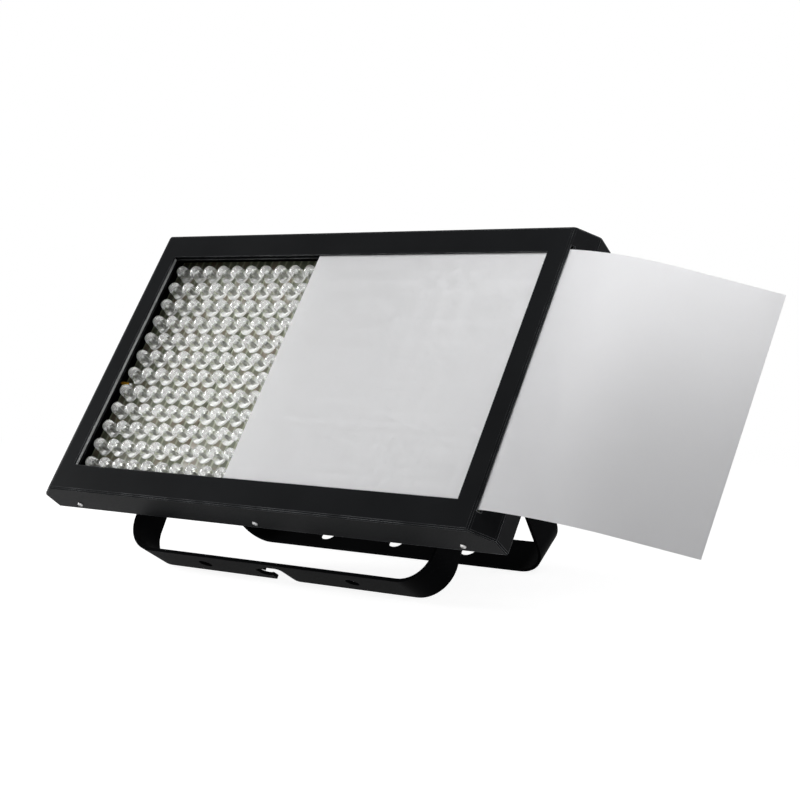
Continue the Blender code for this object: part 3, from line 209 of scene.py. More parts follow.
# Finishes: scales are per metre, heights and edge radii in metres
finishes = {
    "powderCoat": {
        "dark": (0.0070, 0.0075, 0.0083), "light": (0.0105, 0.0112, 0.0122),
        "patchScale": 18, "grainScale": 950, "roughness": (0.36, 0.50),
        "bump": 0.35, "grainHeight": 0.00004, "specular": 0.018, "edge": 0.0007,
        # colour of the painted highlight along folds and edges
        "highlightColour": (0.24, 0.25, 0.26),
    },
    "strapPaint": {
        "dark": (0.0024, 0.0026, 0.0029), "light": (0.0042, 0.0045, 0.0050),
        "patchScale": 25, "grainScale": 1300, "roughness": (0.34, 0.50),
        "bump": 0.25, "grainHeight": 0.00003, "specular": 0.003, "edge": 0.0004,
        # colour of the painted highlight along folds and edges
        "highlightColour": (0.020, 0.021, 0.022),
    },
    "blackPlastic": {
        "dark": (0.012, 0.012, 0.013), "light": (0.020, 0.020, 0.021),
        "patchScale": 40, "grainScale": 2200, "roughness": (0.42, 0.60),
        "bump": 0.35, "grainHeight": 0.00003, "edge": 0.0004,
    },
    "knobPlastic": {
        "dark": (0.014, 0.014, 0.015), "light": (0.022, 0.022, 0.023),
        "patchScale": 60, "grainScale": 1700, "roughness": (0.36, 0.55),
        "bump": 0.4, "grainHeight": 0.00004, "edge": 0.0006,
    },
    "washerNylon": {
        "dark": (0.030, 0.030, 0.033), "light": (0.050, 0.050, 0.054),
        "patchScale": 120, "grainScale": 2600, "roughness": (0.48, 0.65),
        "bump": 0.2, "grainHeight": 0.00002,
    },
    "zincPlate": {
        "dark": (0.46, 0.47, 0.49), "light": (0.62, 0.63, 0.64),
        "patchScale": 140, "grainScale": 1900, "roughness": (0.24, 0.42),
        "bump": 0.2, "grainHeight": 0.00002, "metallic": 1.0, "edge": 0.0003,
    },
    "brightScrew": {
        "dark": (0.40, 0.40, 0.41), "light": (0.56, 0.55, 0.54),
        "patchScale": 300, "grainScale": 3000, "roughness": (0.24, 0.40),
        "bump": 0.15, "grainHeight": 0.00001, "metallic": 1.0,
    },
    "brightStrip": {
        "dark": (0.52, 0.53, 0.54), "light": (0.66, 0.67, 0.68),
        "patchScale": 90, "grainScale": 900, "roughness": (0.16, 0.30),
        "bump": 0.1, "grainHeight": 0.00001, "metallic": 0.35,
    },
    "platedContact": {
        "dark": (0.62, 0.48, 0.24), "light": (0.78, 0.64, 0.36),
        "patchScale": 300, "grainScale": 2500, "roughness": (0.18, 0.32),
        "bump": 0.1, "grainHeight": 0.00001, "metallic": 1.0,
    },
    "circuitBoard": {
        "dark": (0.020, 0.085, 0.035), "light": (0.045, 0.140, 0.060),
        "patchScale": 160, "grainScale": 1800, "roughness": (0.30, 0.46),
        "bump": 0.2, "grainHeight": 0.00002,
    },
    "leadFrame": {
        "dark": (0.36, 0.36, 0.35), "light": (0.64, 0.64, 0.63),
        "patchScale": 500, "grainScale": 3000, "roughness": (0.26, 0.46),
        "bump": 0.1, "grainHeight": 0.00001, "metallic": 1.0,
    },
    "solder": {
        "dark": (0.60, 0.60, 0.60), "light": (0.78, 0.78, 0.77),
        "patchScale": 700, "grainScale": 2600, "roughness": (0.15, 0.35),
        "bump": 0.2, "grainHeight": 0.00002, "metallic": 1.0,
    },
    "wireJacket": {
        "dark": (0.86, 0.40, 0.025), "light": (0.96, 0.52, 0.05),
        "patchScale": 400, "grainScale": 2400, "roughness": (0.34, 0.48),
        "bump": 0.15, "grainHeight": 0.00001,
    },
}


def displayPaneMaterial():
    pane = {"dark": (0.055, 0.003, 0.004), "light": (0.085, 0.005, 0.006), "smokeScale": 90,
            "wipeScale": 1200, "roughness": (0.05, 0.10), "coat": 0.6}
    material, tree, shader = newMaterial("displayPane")
    smoke = spread(tree, noise(tree, pane["smokeScale"], 3), 0, 1)
    tree.links.new(blendColours(tree, smoke, pane["dark"], pane["light"]), shader.inputs["Base Color"])
    wiped = spread(tree, noise(tree, pane["wipeScale"], 2), *pane["roughness"])
    tree.links.new(wiped, shader.inputs["Roughness"])
    shader.inputs["Coat Weight"].default_value = pane["coat"]
    return material


def ledBoardMaterial():
    board = {
        "mask": (0.112, 0.128, 0.080), "brown": (0.170, 0.140, 0.095), "trace": (0.300, 0.320, 0.230),
        "patchScale": 60, "patchBand": (0.45, 0.62), "grainScale": 900, "roughness": (0.28, 0.42),
        "traceScale": 42.655, "traceWander": 0.6, "traceBand": (0.80, 0.90),
        "traceStrength": 0.3, "traceHeight": 0.00004,
    }
    material, tree, shader = newMaterial("ledBoard")
    patches = spread(tree, noise(tree, board["patchScale"], 3), 0, 1, *board["patchBand"])
    ground = blendColours(tree, patches, board["mask"], board["brown"])
    # the scale gives about two traces for each column of LEDs
    wave = addNode(tree, "ShaderNodeTexWave", {"bands_direction": "X"}, Vector=metres(tree),
                   Scale=board["traceScale"], Distortion=board["traceWander"], Detail=1.0)
    line = spread(tree, wave.outputs["Fac"], 0, 1, *board["traceBand"])
    tree.links.new(blendColours(tree, line, ground, board["trace"]), shader.inputs["Base Color"])
    grain = spread(tree, noise(tree, board["grainScale"], 2), *board["roughness"])
    tree.links.new(grain, shader.inputs["Roughness"])
    raised = bump(tree, line, board["traceStrength"], board["traceHeight"])
    tree.links.new(raised, shader.inputs["Normal"])
    return material


# The milky share of a clear LED's body and of its flange
lensMilk = {"ledLens": 0.06, "ledFlange": 0.34}


def lensMaterial(name, milk):
    lens = {
        "tint": (0.975, 0.985, 0.975), "cloud": (0.95, 0.97, 0.95), "haze": (0.92, 0.92, 0.91),
        "cloudScale": 260, "grainScale": 700, "roughness": (0.01, 0.05), "ior": 1.52, "shadow": 0.82,
    }
    material, tree, shader = newMaterial(name)
    cloud = spread(tree, noise(tree, lens["cloudScale"], 2), 0, 1)
    tree.links.new(blendColours(tree, cloud, lens["tint"], lens["cloud"]), shader.inputs["Base Color"])
    grain = spread(tree, noise(tree, lens["grainScale"], 2), *lens["roughness"])
    tree.links.new(grain, shader.inputs["Roughness"])
    shader.inputs["IOR"].default_value = lens["ior"]
    shader.inputs["Transmission Weight"].default_value = 1.0
    haze = addNode(tree, "ShaderNodeBsdfDiffuse", None, Color=(*lens["haze"], 1))
    letLightThrough(tree, mixShaders(tree, milk, shader, haze), (1, 1, 1), lens["shadow"])
    return material


def frostMaterial():
    frost = {
        "body": (0.93, 0.93, 0.94), "cloudShade": 0.985, "cloudScale": 30, "through": (0.95, 0.95, 0.96),
        "grainScale": 2600, "roughness": (0.34, 0.46), "bump": 0.12, "grainHeight": 0.00002,
        "milk": 0.14, "clear": 0.030, "blur": 0.25, "ior": 1.12, "shadow": 0.55,
    }
    material, tree, shader = newMaterial("frostedSheet")
    cloud = spread(tree, noise(tree, frost["cloudScale"], 3), 0, 1)
    shade = tuple(frost["cloudShade"] * channel for channel in frost["body"])
    tree.links.new(blendColours(tree, cloud, frost["body"], shade), shader.inputs["Base Color"])
    grain = noise(tree, frost["grainScale"], 2, 0.6)
    tree.links.new(spread(tree, grain, *frost["roughness"]), shader.inputs["Roughness"])
    tree.links.new(bump(tree, grain, frost["bump"], frost["grainHeight"]), shader.inputs["Normal"])
    shader.inputs["Specular IOR Level"].default_value = 1.0
    through = (*frost["through"], 1)
    milk = addNode(tree, "ShaderNodeBsdfTranslucent", None, Color=through)
    clear = addNode(tree, "ShaderNodeBsdfRefraction", None, Color=through, Roughness=frost["blur"],
                    IOR=frost["ior"])
    milky = mixShaders(tree, frost["milk"], shader, milk)
    sheet = mixShaders(tree, frost["clear"], milky, clear)
    letLightThrough(tree, sheet, frost["through"], frost["shadow"])
    return material


materials = {name: grainedMaterial(name, finish) for name, finish in finishes.items()}
materials["displayPane"] = displayPaneMaterial()
materials["ledBoard"] = ledBoardMaterial()
materials.update({name: lensMaterial(name, milk) for name, milk in lensMilk.items()})
materials["frostedSheet"] = frostMaterial()
print("materials made:", len(materials))

# Shapes


def pieceFrom(name, bm, finish, body, place=panelFrame, smooth=35, replaced=()):
    mesh = bpy.data.meshes.new(name)
    bm.to_mesh(mesh)
    bm.free()
    mesh.transform(place)
    for finishName in (finish,) if isinstance(finish, str) else finish:
        mesh.materials.append(materials[finishName])
    mesh.shade_smooth()
    mesh.set_sharp_from_angle(angle=math.radians(smooth))
    obj = bpy.data.objects.new(name, mesh)
    scene.collection.objects.link(obj)
    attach(obj, body)
    if replaced:
        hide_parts(*replaced)
    return obj


def turned(profile, steps):
    bm = bmesh.new()
    rings = []
    for radius, height in profile:
        if radius:
            turns = [2 * math.pi * k / steps for k in range(steps)]
            ring = [(radius * math.cos(t), radius * math.sin(t), height) for t in turns]
            rings.append([bm.verts.new(point) for point in ring])
        else:
            rings.append([bm.verts.new((0, 0, height))])
    for lower, upper in zip(rings, rings[1:]):
        for k in range(steps):
            corners = [lower[k % len(lower)], lower[(k + 1) % len(lower)],
                       upper[(k + 1) % len(upper)], upper[k % len(upper)]]
            unique = list(dict.fromkeys(corners))
            if len(unique) > 2:
                bm.faces.new(unique)
    bmesh.ops.recalc_face_normals(bm, faces=bm.faces)
    return bm


def addCopy(target, source, matrix):
    mesh = bpy.data.meshes.new("copy")
    source.to_mesh(mesh)
    mesh.transform(matrix)
    target.from_mesh(mesh)
    bpy.data.meshes.remove(mesh)


def boxMesh(low, high, edge=0.0):
    bm = bmesh.new()
    bmesh.ops.create_cube(bm, size=1.0)
    size = Vector(high) - Vector(low)
    bmesh.ops.scale(bm, vec=size, verts=bm.verts)
    bmesh.ops.translate(bm, vec=Vector(low) + size / 2, verts=bm.verts)
    if edge:
        bmesh.ops.bevel(bm, geom=bm.edges, offset=edge, segments=2, profile=0.5, affect="EDGES")
    return bm


# Turns a mesh drawn along +z so that it stands along another direction of the panel
towardFront = Matrix(((1, 0, 0), (0, 0, -1), (0, 1, 0))).to_4x4()
towardBack = Matrix(((-1, 0, 0), (0, 0, 1), (0, 1, 0))).to_4x4()
towardFloor = Matrix(((1, 0, 0), (0, -1, 0), (0, 0, -1))).to_4x4()
towardRight = Matrix(((0, 0, 1), (0, 1, 0), (-1, 0, 0))).to_4x4()
towardLeft = Matrix(((0, 0, -1), (0, 1, 0), (1, 0, 0))).to_4x4()
towardTop = Matrix.Identity(4)

# CAD pieces that keep their shape and get their finish
nodeFinish = {
    # the board rails are zinc-plated but get the black coat: painted shade that keeps the gap beside the
    # LED boards dark
    "powderCoat": ("front_bezel", "rear_cover", "driver_box", "diffuser_rail_top", "diffuser_rail_bottom",
                   "board_rail_top", "board_rail_bottom"),
    "zincPlate": ("safety_eye", "pivot_bolt_left", "pivot_bolt_right"),
    "circuitBoard": ("power_supply", "control_board"),
    "displayPane": ("display_window",),
    "blackPlastic": ("menu_button_1", "menu_button_2", "menu_button_3", "menu_button_4", "mains_inlet",
                     "dmx_in_socket", "dmx_out_socket", "dmx_out_latch"),
    "platedContact": ("mains_pins", "dmx_in_pins"),
    "washerNylon": ("inner_washer_left", "inner_washer_right", "middle_washer_left", "middle_washer_right",
                    "outer_washer_left", "outer_washer_right"),
    "knobPlastic": ("clamp_knob_left", "clamp_knob_right"),
}
for finishName, members in nodeFinish.items():
    for member in members:
        nodes[member].data.materials.clear()
        nodes[member].data.materials.append(materials[finishName])
print("finishes put on the CAD pieces")

# The LED field: four boards, and on each 72 clear LEDs with their lead frames
led = {
    "columns": 24, "rows": 12, "boards": 4, "pitchAcross": 0.01485, "pitchUp": 0.01665,
    "boardFront": 0.0187, "boardThickness": 0.0016, "boardHeight": 0.216, "boardGap": 0.0006,
    "boardEdge": 0.0002, "endMargin": 0.0134,
    "radius": 0.005, "domeTop": 0.0052, "steps": 20, "domeSteps": 7,
    "flangeRadius": 0.0058, "flangeHeight": 0.0013, "seat": 0.0002, "rimIn": 0.0003, "rimDown": 0.0002,
    "fillet": 0.0001,
}
leadFrame = {
    "radius": 0.0013, "top": 0.0078, "depth": 0.0016, "inside": 0.0009, "floorShare": 0.45,
    "mouthShare": 0.82, "baseShare": 0.75, "steps": 10, "foot": 0.0008, "gap": 0.0001,
    "postWidth": 0.0019, "thickness": 0.0006,
    "armTop": 0.0084, "armAt": 0.0016, "armWidth": 0.0008, "armReach": 0.0010, "armThickness": 0.0005,
}


def lensShape():
    radius, rim, top = led["radius"], led["flangeRadius"], led["flangeHeight"]
    height = led["boardFront"] - led["domeTop"]
    shoulder = height - radius
    profile = [(0.0, led["seat"]), (rim - led["rimIn"], led["seat"]), (rim, led["seat"] + led["rimIn"]),
               (rim, top - led["rimDown"]), (rim - led["rimIn"], top),
               (radius + led["fillet"], top + led["fillet"]), (radius, shoulder)]
    for k in range(1, led["domeSteps"]):
        turn = math.pi / 2 * k / led["domeSteps"]
        profile.append((radius * math.cos(turn), shoulder + radius * math.sin(turn)))
    profile.append((0.0, height))
    bm = turned(profile, led["steps"])
    for face in bm.faces:
        onFlange = max(vert.co.z for vert in face.verts) < top + 2 * led["fillet"]
        face.material_index = 1 if onFlange else 0
    return bm


# The reflector cup on its post, and the arm beside it that bends over towards the cup
def leadFrameShape():
    cup, top, foot = leadFrame["radius"], leadFrame["top"], leadFrame["foot"]
    base, floor = top - leadFrame["depth"], top - leadFrame["inside"]
    profile = [(0, base), (cup * leadFrame["baseShare"], base), (cup, top),
               (cup * leadFrame["mouthShare"], top), (cup * leadFrame["floorShare"], floor), (0, floor)]
    bm = turned(profile, leadFrame["steps"])
    post, thick = leadFrame["postWidth"] / 2, leadFrame["thickness"] / 2
    arm, armTop, gap = leadFrame["armAt"], leadFrame["armTop"], leadFrame["gap"]
    armSide, bend = arm + leadFrame["armWidth"], armTop - leadFrame["armThickness"]
    for low, high in (
            ((-post, -thick, foot), (post, thick, base - gap)),
            ((arm, -thick, foot), (armSide, thick, bend - gap)),
            ((arm - leadFrame["armReach"], -thick, bend), (armSide, thick, armTop))):
        addCopy(bm, boxMesh(low, high), Matrix.Identity(4))
    return bm


# Where a board's first column stands, how many columns it has, and its left and right edges
def boardSpan(index):
    columns = led["columns"] // led["boards"]
    first = (index * columns - (led["columns"] - 1) / 2) * led["pitchAcross"]
    last = first + (columns - 1) * led["pitchAcross"]
    inner = (led["pitchAcross"] - led["boardGap"]) / 2
    left = first - (led["endMargin"] if index == 0 else inner)
    right = last + (led["endMargin"] if index == led["boards"] - 1 else inner)
    return first, columns, left, right


def buildLedField():
    centre = panel["height"] / 2
    firstRow = centre - (led["rows"] - 1) / 2 * led["pitchUp"]
    lens, leads = lensShape(), leadFrameShape()
    front = led["boardFront"]
    for index in range(led["boards"]):
        first, columns, left, right = boardSpan(index)
        low = (left, front, centre - led["boardHeight"] / 2)
        high = (right, front + led["boardThickness"], centre + led["boardHeight"] / 2)
        board = boxMesh(low, high, led["boardEdge"])
        pieceFrom(f"ledBoard{index + 1}", board, "ledBoard", "housing",
                  replaced=(f"led_board_{index + 1}",))
        lenses, frames = bmesh.new(), bmesh.new()
        for column in range(columns):
            for row in range(led["rows"]):
                place = (first + column * led["pitchAcross"], front, firstRow + row * led["pitchUp"])
                spot = Matrix.Translation(place) @ towardFront
                addCopy(lenses, lens, spot)
                addCopy(frames, leads, spot)
        pieceFrom(f"ledLenses{index + 1}", lenses, ("ledLens", "ledFlange"), "housing",
                  smooth=50)
        pieceFrom(f"leadFrames{index + 1}", frames, "leadFrame", "housing")
    lens.free()
    leads.free()


buildLedField()
print("LED field made")

# The supply wire: soldered to the front of the left board, round its edge and behind it
wire = {
    "radius": 0.0009, "step": 0.0026, "bevelResolution": 4,
    "route": (
        (-0.1795, 0.0170, 0.1075), (-0.1845, 0.0168, 0.1078), (-0.1885, 0.0182, 0.1086),
        (-0.1905, 0.0210, 0.1098), (-0.1885, 0.0236, 0.1110), (-0.1800, 0.0246, 0.1122),
        (-0.1500, 0.0250, 0.1160), (-0.1200, 0.0252, 0.1200), (-0.0980, 0.0262, 0.1225),
        (-0.0890, 0.0300, 0.1235), (-0.0860, 0.0360, 0.1240), (-0.0858, 0.0430, 0.1240)),
}
solderJoint = {
    "profile": ((0, 0), (0.0019, 0), (0.0017, 0.0006), (0.0010, 0.0015), (0.0006, 0.0020), (0, 0.0021)),
    "steps": 16, "pastEnd": 0.0012, "sink": 0.00005,
}


def smoothRoute(route, step, fineSteps=20):
    knots = [Vector(point) for point in route]
    padded = [2 * knots[0] - knots[1]] + knots + [2 * knots[-1] - knots[-2]]
    dense = []
    for a, b, c, d in zip(padded, padded[1:], padded[2:], padded[3:]):
        for k in range(fineSteps):
            t = k / fineSteps
            dense.append(0.5 * (2 * b + (c - a) * t + (2 * a - 5 * b + 4 * c - d) * t ** 2
                                + (3 * b - a - 3 * c + d) * t ** 3))
    dense.append(knots[-1])
    points, travelled = [dense[0]], 0.0
    for before, after in zip(dense, dense[1:]):
        travelled += (after - before).length
        if travelled >= step:
            points.append(after)
            travelled = 0.0
    if (points[-1] - dense[-1]).length < step / 2:
        points.pop()
    return points + [dense[-1]]


def buildWire():
    points = [panelFrame @ point for point in smoothRoute(wire["route"], wire["step"])]
    curve = bpy.data.curves.new("ledWire", "CURVE")
    curve.dimensions = "3D"
    curve.bevel_depth = wire["radius"]
    curve.bevel_resolution = wire["bevelResolution"]
    curve.use_fill_caps = True
    spline = curve.splines.new("POLY")
    spline.points.add(len(points) - 1)
    for point, place in zip(spline.points, points):
        point.co = (*place, 1.0)
    curve.materials.append(materials["wireJacket"])
    jacket = bpy.data.objects.new("ledWire", curve)
    scene.collection.objects.link(jacket)
    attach(jacket, "housing")
    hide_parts("led_wire")
    joint = turned(solderJoint["profile"], solderJoint["steps"])
    solder = bmesh.new()
    start = Vector(wire["route"][0])
    pad = Matrix.Translation(
        (start.x + solderJoint["pastEnd"], led["boardFront"] - solderJoint["sink"], start.z))
    addCopy(solder, joint, pad @ towardFront)
    joint.free()
    pieceFrom("wireSolder", solder, "solder", "housing")


buildWire()

# The light strip that the sheet stops against, just behind the window's left edge
endStop = {"low": (-0.1775, 0.0015, 0.0225), "high": (-0.1763, 0.0037, 0.2212), "edge": 0.0002}


def buildEndStop():
    strip = boxMesh(endStop["low"], endStop["high"], endStop["edge"])
    pieceFrom("endStop", strip, "brightStrip", "housing",
              replaced=("diffuser_end_stop",))


buildEndStop()

# The diffuser: flat in its rails, drooping backwards past the slot, more at its top edge.
# A pair of values is for the bottom edge and the top edge
diffuser = {
    "innerEdge": -0.0260, "slot": 0.192, "front": 0.0017, "bottom": 0.0164, "height": 0.208,
    "thickness": 0.001, "rows": 24, "insideColumns": 24, "freeColumns": 64, "flatShare": 0.004,
    "creaseRun": 0.0016, "creaseAngle": math.radians(6.5), "droopStart": (0.0052, 0.0016),
    "bend": (0.088, 0.075), "angle": (math.radians(21.5), math.radians(26.3)), "free": (0.1478, 0.1530),
}


def between(pair, share):
    return pair[0] + (pair[1] - pair[0]) * share


# How far right and back a point of the free sheet comes, at a run from the slot
def droopPoint(run, share):
    start, bend, angle = (between(diffuser[key], share) for key in ("droopStart", "bend", "angle"))
    creaseRun, crease = diffuser["creaseRun"], diffuser["creaseAngle"]
    right = back = turnedBy = 0.0
    # level out of the slot, then a short crease, then the long bend, then straight
    for length, turn in ((start, 0.0), (creaseRun, crease), (bend, angle - crease), (1.0, 0.0)):
        here = min(run, length)
        swing = turn * here / length
        chord = 2 * here / swing * math.sin(swing / 2) if swing else here
        right += chord * math.cos(turnedBy + swing / 2)
        back += chord * math.sin(turnedBy + swing / 2)
        turnedBy += swing
        run -= here
    return right, back


def buildDiffuser():
    bm = bmesh.new()
    slot = diffuser["slot"]
    insideColumns, freeColumns = diffuser["insideColumns"], diffuser["freeColumns"]
    inside = diffuser["innerEdge"] - slot
    grid = []
    for row in range(diffuser["rows"] + 1):
        share = row / diffuser["rows"]
        free = between(diffuser["free"], share)
        height = diffuser["bottom"] + diffuser["height"] * share
        line = [(inside * (1 - k / insideColumns), 0.0) for k in range(insideColumns)]
        line += [droopPoint(free * k / freeColumns, share) for k in range(freeColumns + 1)]
        grid.append([bm.verts.new((slot + x, diffuser["front"] + y, height)) for x, y in line])
    for lower, upper in zip(grid, grid[1:]):
        for k in range(len(lower) - 1):
            bm.faces.new((lower[k], lower[k + 1], upper[k + 1], upper[k]))
    bmesh.ops.solidify(bm, geom=bm.faces[:], thickness=diffuser["thickness"])
    bmesh.ops.recalc_face_normals(bm, faces=bm.faces)
    sheet = pieceFrom("diffuserSheet", bm, "frostedSheet", "diffuser",
                      replaced=("diffuser_sheet",))
    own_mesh(sheet)


buildDiffuser()
print("diffuser made")

# The two hanging brackets: flat straps, cut first and then bent, as the real ones are
strap = {
    "width": 0.0310, "thickness": 0.0026, "bendRadius": 0.0255, "pivotAboveFloor": 0.1330,
    "bendSteps": 20, "boltHole": 0.0044, "holeSteps": 40, "endSteps": 20, "holeFromCentre": 0.069,
    "frontHalfWidth": 0.1406, "frontArm": 0.1440, "frontHole": 0.0055,
    "rearHalfWidth": 0.1476, "rearArm": 0.1505, "rearHole": 0.0070,
    "edge": 0.00045, "edgeAngle": math.radians(50), "flatAngle": math.radians(1),
    "mergeDistance": 0.00001, "cutDistance": 0.000001,
}
notch = {
    "right": 0.0084, "left": -0.0083, "depth": 0.0245, "corner": 0.0040, "flare": 0.0035, "steps": 8,
    "seatRadius": 0.0064, "seatMouth": 0.0046, "seatFromMiddle": 0.0020, "seatSteps": 40,
}


def arc(centre, radius, first, last, steps):
    turns = [first + (last - first) * k / steps for k in range(steps + 1)]
    return [(centre[0] + radius * math.cos(t), centre[1] + radius * math.sin(t)) for t in turns]


def flatMesh(outlines, low, high):
    curve = bpy.data.curves.new("outline", "CURVE")
    curve.dimensions = "2D"
    curve.fill_mode = "BOTH"
    curve.extrude = (high - low) / 2
    for outline in outlines:
        spline = curve.splines.new("POLY")
        spline.points.add(len(outline) - 1)
        for point, (a, b) in zip(spline.points, outline):
            point.co = (a, b, 0.0, 1.0)
        spline.use_cyclic_u = True
    shape = bpy.data.objects.new("outline", curve)
    scene.collection.objects.link(shape)
    mesh = bpy.data.meshes.new_from_object(shape.evaluated_get(bpy.context.evaluated_depsgraph_get()))
    bpy.data.objects.remove(shape, do_unlink=True)
    bpy.data.curves.remove(curve)
    mesh.transform(Matrix.Translation((0, 0, (low + high) / 2)))
    bm = bmesh.new()
    bm.from_mesh(mesh)
    bpy.data.meshes.remove(mesh)
    bmesh.ops.remove_doubles(bm, verts=bm.verts, dist=strap["mergeDistance"])
    bm.normal_update()
    bmesh.ops.recalc_face_normals(bm, faces=bm.faces)
    return bm


def meshObject(name, bm):
    mesh = bpy.data.meshes.new(name)
    bm.to_mesh(mesh)
    bm.free()
    obj = bpy.data.objects.new(name, mesh)
    scene.collection.objects.link(obj)
    return obj


def cutAway(bm, *tools):
    blank = meshObject("blank", bm)
    cutters = [meshObject(f"cutter{k}", tool) for k, tool in enumerate(tools)]
    for cutter in cutters:
        modifier = blank.modifiers.new("cut", "BOOLEAN")
        modifier.operation = "DIFFERENCE"
        modifier.object = cutter
        modifier.solver = "EXACT"
    mesh = bpy.data.meshes.new_from_object(blank.evaluated_get(bpy.context.evaluated_depsgraph_get()))
    result = bmesh.new()
    result.from_mesh(mesh)
    bpy.data.meshes.remove(mesh)
    for obj in [blank, *cutters]:
        bpy.data.objects.remove(obj, do_unlink=True)
    return result


def notchOutline():
    edge = strap["width"] / 2
    front, outside = edge - notch["depth"], edge + notch["flare"]
    flare, corner, steps = notch["flare"], notch["corner"], notch["steps"]
    points = [(notch["right"] + 2 * flare, outside)]
    points += arc((notch["right"] + flare, edge - flare), flare, math.pi / 2, math.pi, steps)
    points += arc((notch["right"] - corner, front + corner), corner, 0, -math.pi / 2, steps)
    points += arc((notch["left"] + corner, front + corner), corner, -math.pi / 2, -math.pi, steps)
    points += arc((notch["left"] - flare, edge - flare), flare, 0, math.pi / 2, steps)
    return points + [(notch["left"] - 2 * flare, outside)]


# Where a point of the flat strap comes when the strap is bent into its U
def bendPoint(along, height, halfWidth, arm):
    radius = strap["bendRadius"]
    flat, curved = halfWidth - radius, math.pi / 2 * radius
    side = 1 if along >= 0 else -1
    run = abs(along)
    if run <= flat:
        x, z = run, -arm + height
    elif run <= flat + curved:
        turn = (run - flat) / radius
        x = flat + (radius - height) * math.sin(turn)
        z = -arm + radius - (radius - height) * math.cos(turn)
    else:
        x, z = halfWidth - height, -arm + radius + (run - flat - curved)
    return side * x, z


def buildStrap(name, node, body, halfWidth, arm, side, holes, withNotch):
    radius, half, thickness = strap["bendRadius"], strap["width"] / 2, strap["thickness"]
    flat, curved = halfWidth - radius, math.pi / 2 * radius
    boltAt = flat + curved + arm - radius
    outline = arc((boltAt, 0), half, -math.pi / 2, math.pi / 2, strap["endSteps"])
    outline += arc((-boltAt, 0), half, math.pi / 2, 3 * math.pi / 2, strap["endSteps"])
    rings = [outline]
    turn = 2 * math.pi * (1 - 1 / strap["holeSteps"])
    for x, size in [(-boltAt, strap["boltHole"]), (boltAt, strap["boltHole"])] + holes:
        rings.append(arc((x, 0), size, 0, turn, strap["holeSteps"] - 1))
    bm = flatMesh(rings, 0, thickness)
    if withNotch:
        seatX = notch["left"] - math.sqrt(notch["seatRadius"] ** 2 - notch["seatMouth"] ** 2)
        low, high = -thickness, 2 * thickness
        seat = turned([(0, low), (notch["seatRadius"], low), (notch["seatRadius"], high), (0, high)],
                      notch["seatSteps"])
        bmesh.ops.translate(seat, vec=(seatX, notch["seatFromMiddle"], 0), verts=seat.verts)
        bm = cutAway(bm, flatMesh([notchOutline()], low, high), seat)
    bmesh.ops.dissolve_limit(bm, angle_limit=strap["flatAngle"], verts=bm.verts, edges=bm.edges)
    for sign in (-1, 1):
        for k in range(strap["bendSteps"] + 1):
            at = sign * (flat + curved * k / strap["bendSteps"])
            everything = bm.verts[:] + bm.edges[:] + bm.faces[:]
            bmesh.ops.bisect_plane(bm, geom=everything, dist=strap["cutDistance"], plane_co=(at, 0, 0),
                                   plane_no=(1, 0, 0))
    for vert in bm.verts:
        x, z = bendPoint(vert.co.x, vert.co.z, halfWidth, arm)
        vert.co = (x, vert.co.y, z)
    reach = math.hypot(arm, half)
    swing = side * (math.atan2(half, arm) + math.acos(strap["pivotAboveFloor"] / reach))
    place = Matrix.Translation(pivot) @ Matrix.Rotation(swing, 4, "X")
    obj = pieceFrom(name, bm, "strapPaint", body, place=place, replaced=(node,))
    edges = obj.modifiers.new("edges", "BEVEL")
    edges.width = strap["edge"]
    edges.segments = 2
    edges.limit_method = "ANGLE"
    edges.angle_limit = strap["edgeAngle"]
    edges.use_clamp_overlap = True


def buildStraps():
    side = strap["holeFromCentre"]
    front = [(-side, strap["frontHole"]), (side, strap["frontHole"])]
    rear = [(x, strap["rearHole"]) for x in (-side, 0, side)]
    buildStrap("frontStrap", "front_bracket", "front_hanger", strap["frontHalfWidth"], strap["frontArm"],
               -1, front, True)
    buildStrap("rearStrap", "rear_bracket", "rear_hanger", strap["rearHalfWidth"], strap["rearArm"],
               1, rear, False)


buildStraps()
print("brackets made")

# Screws of the casing, the driver box and the sockets
screw = {
    "headRadius": 0.0022, "headHeight": 0.0013, "sink": 0.0004, "rim": 0.0003, "steps": 20,
    "dome": ((0.93, 0.6), (0.72, 0.88), (0.4, 1.0)),
    "slotWidth": 0.0006, "slotDepth": 0.0006, "slotLength": 0.0022,
    "wallDepth": 0.024, "wallColumns": (-0.177, 0.0, 0.177), "sideFromEnd": 0.040,
}
box = {
    "front": 0.0313, "back": 0.0715, "bottom": 0.070, "top": 0.180, "lip": 0.0060, "sheet": 0.0012,
    "screwColumns": (-0.118, -0.040, 0.040, 0.118), "controlScrews": (0.043, 0.026),
}
sockets = {
    "up": 0.125, "proud": 0.0023, "screwShare": 0.72,
    "mainsAt": 0.098, "mainsScrew": 0.0195, "dataAt": (-0.070, -0.105), "dataScrew": (0.0097, 0.0120),
}


def screwShape():
    radius, height = screw["headRadius"], screw["headHeight"]
    profile = [(0, -screw["sink"]), (radius, -screw["sink"]), (radius, screw["rim"])]
    profile += [(radius * across, height * up) for across, up in screw["dome"]]
    head = turned(profile + [(0, height)], screw["steps"])
    width, length, floor = screw["slotWidth"] / 2, screw["slotLength"] / 2, height - screw["slotDepth"]
    cross = [boxMesh((-length, -width, floor), (length, width, 2 * height)),
             boxMesh((-width, -length, floor), (width, length, 2 * height))]
    return cutAway(head, *cross)


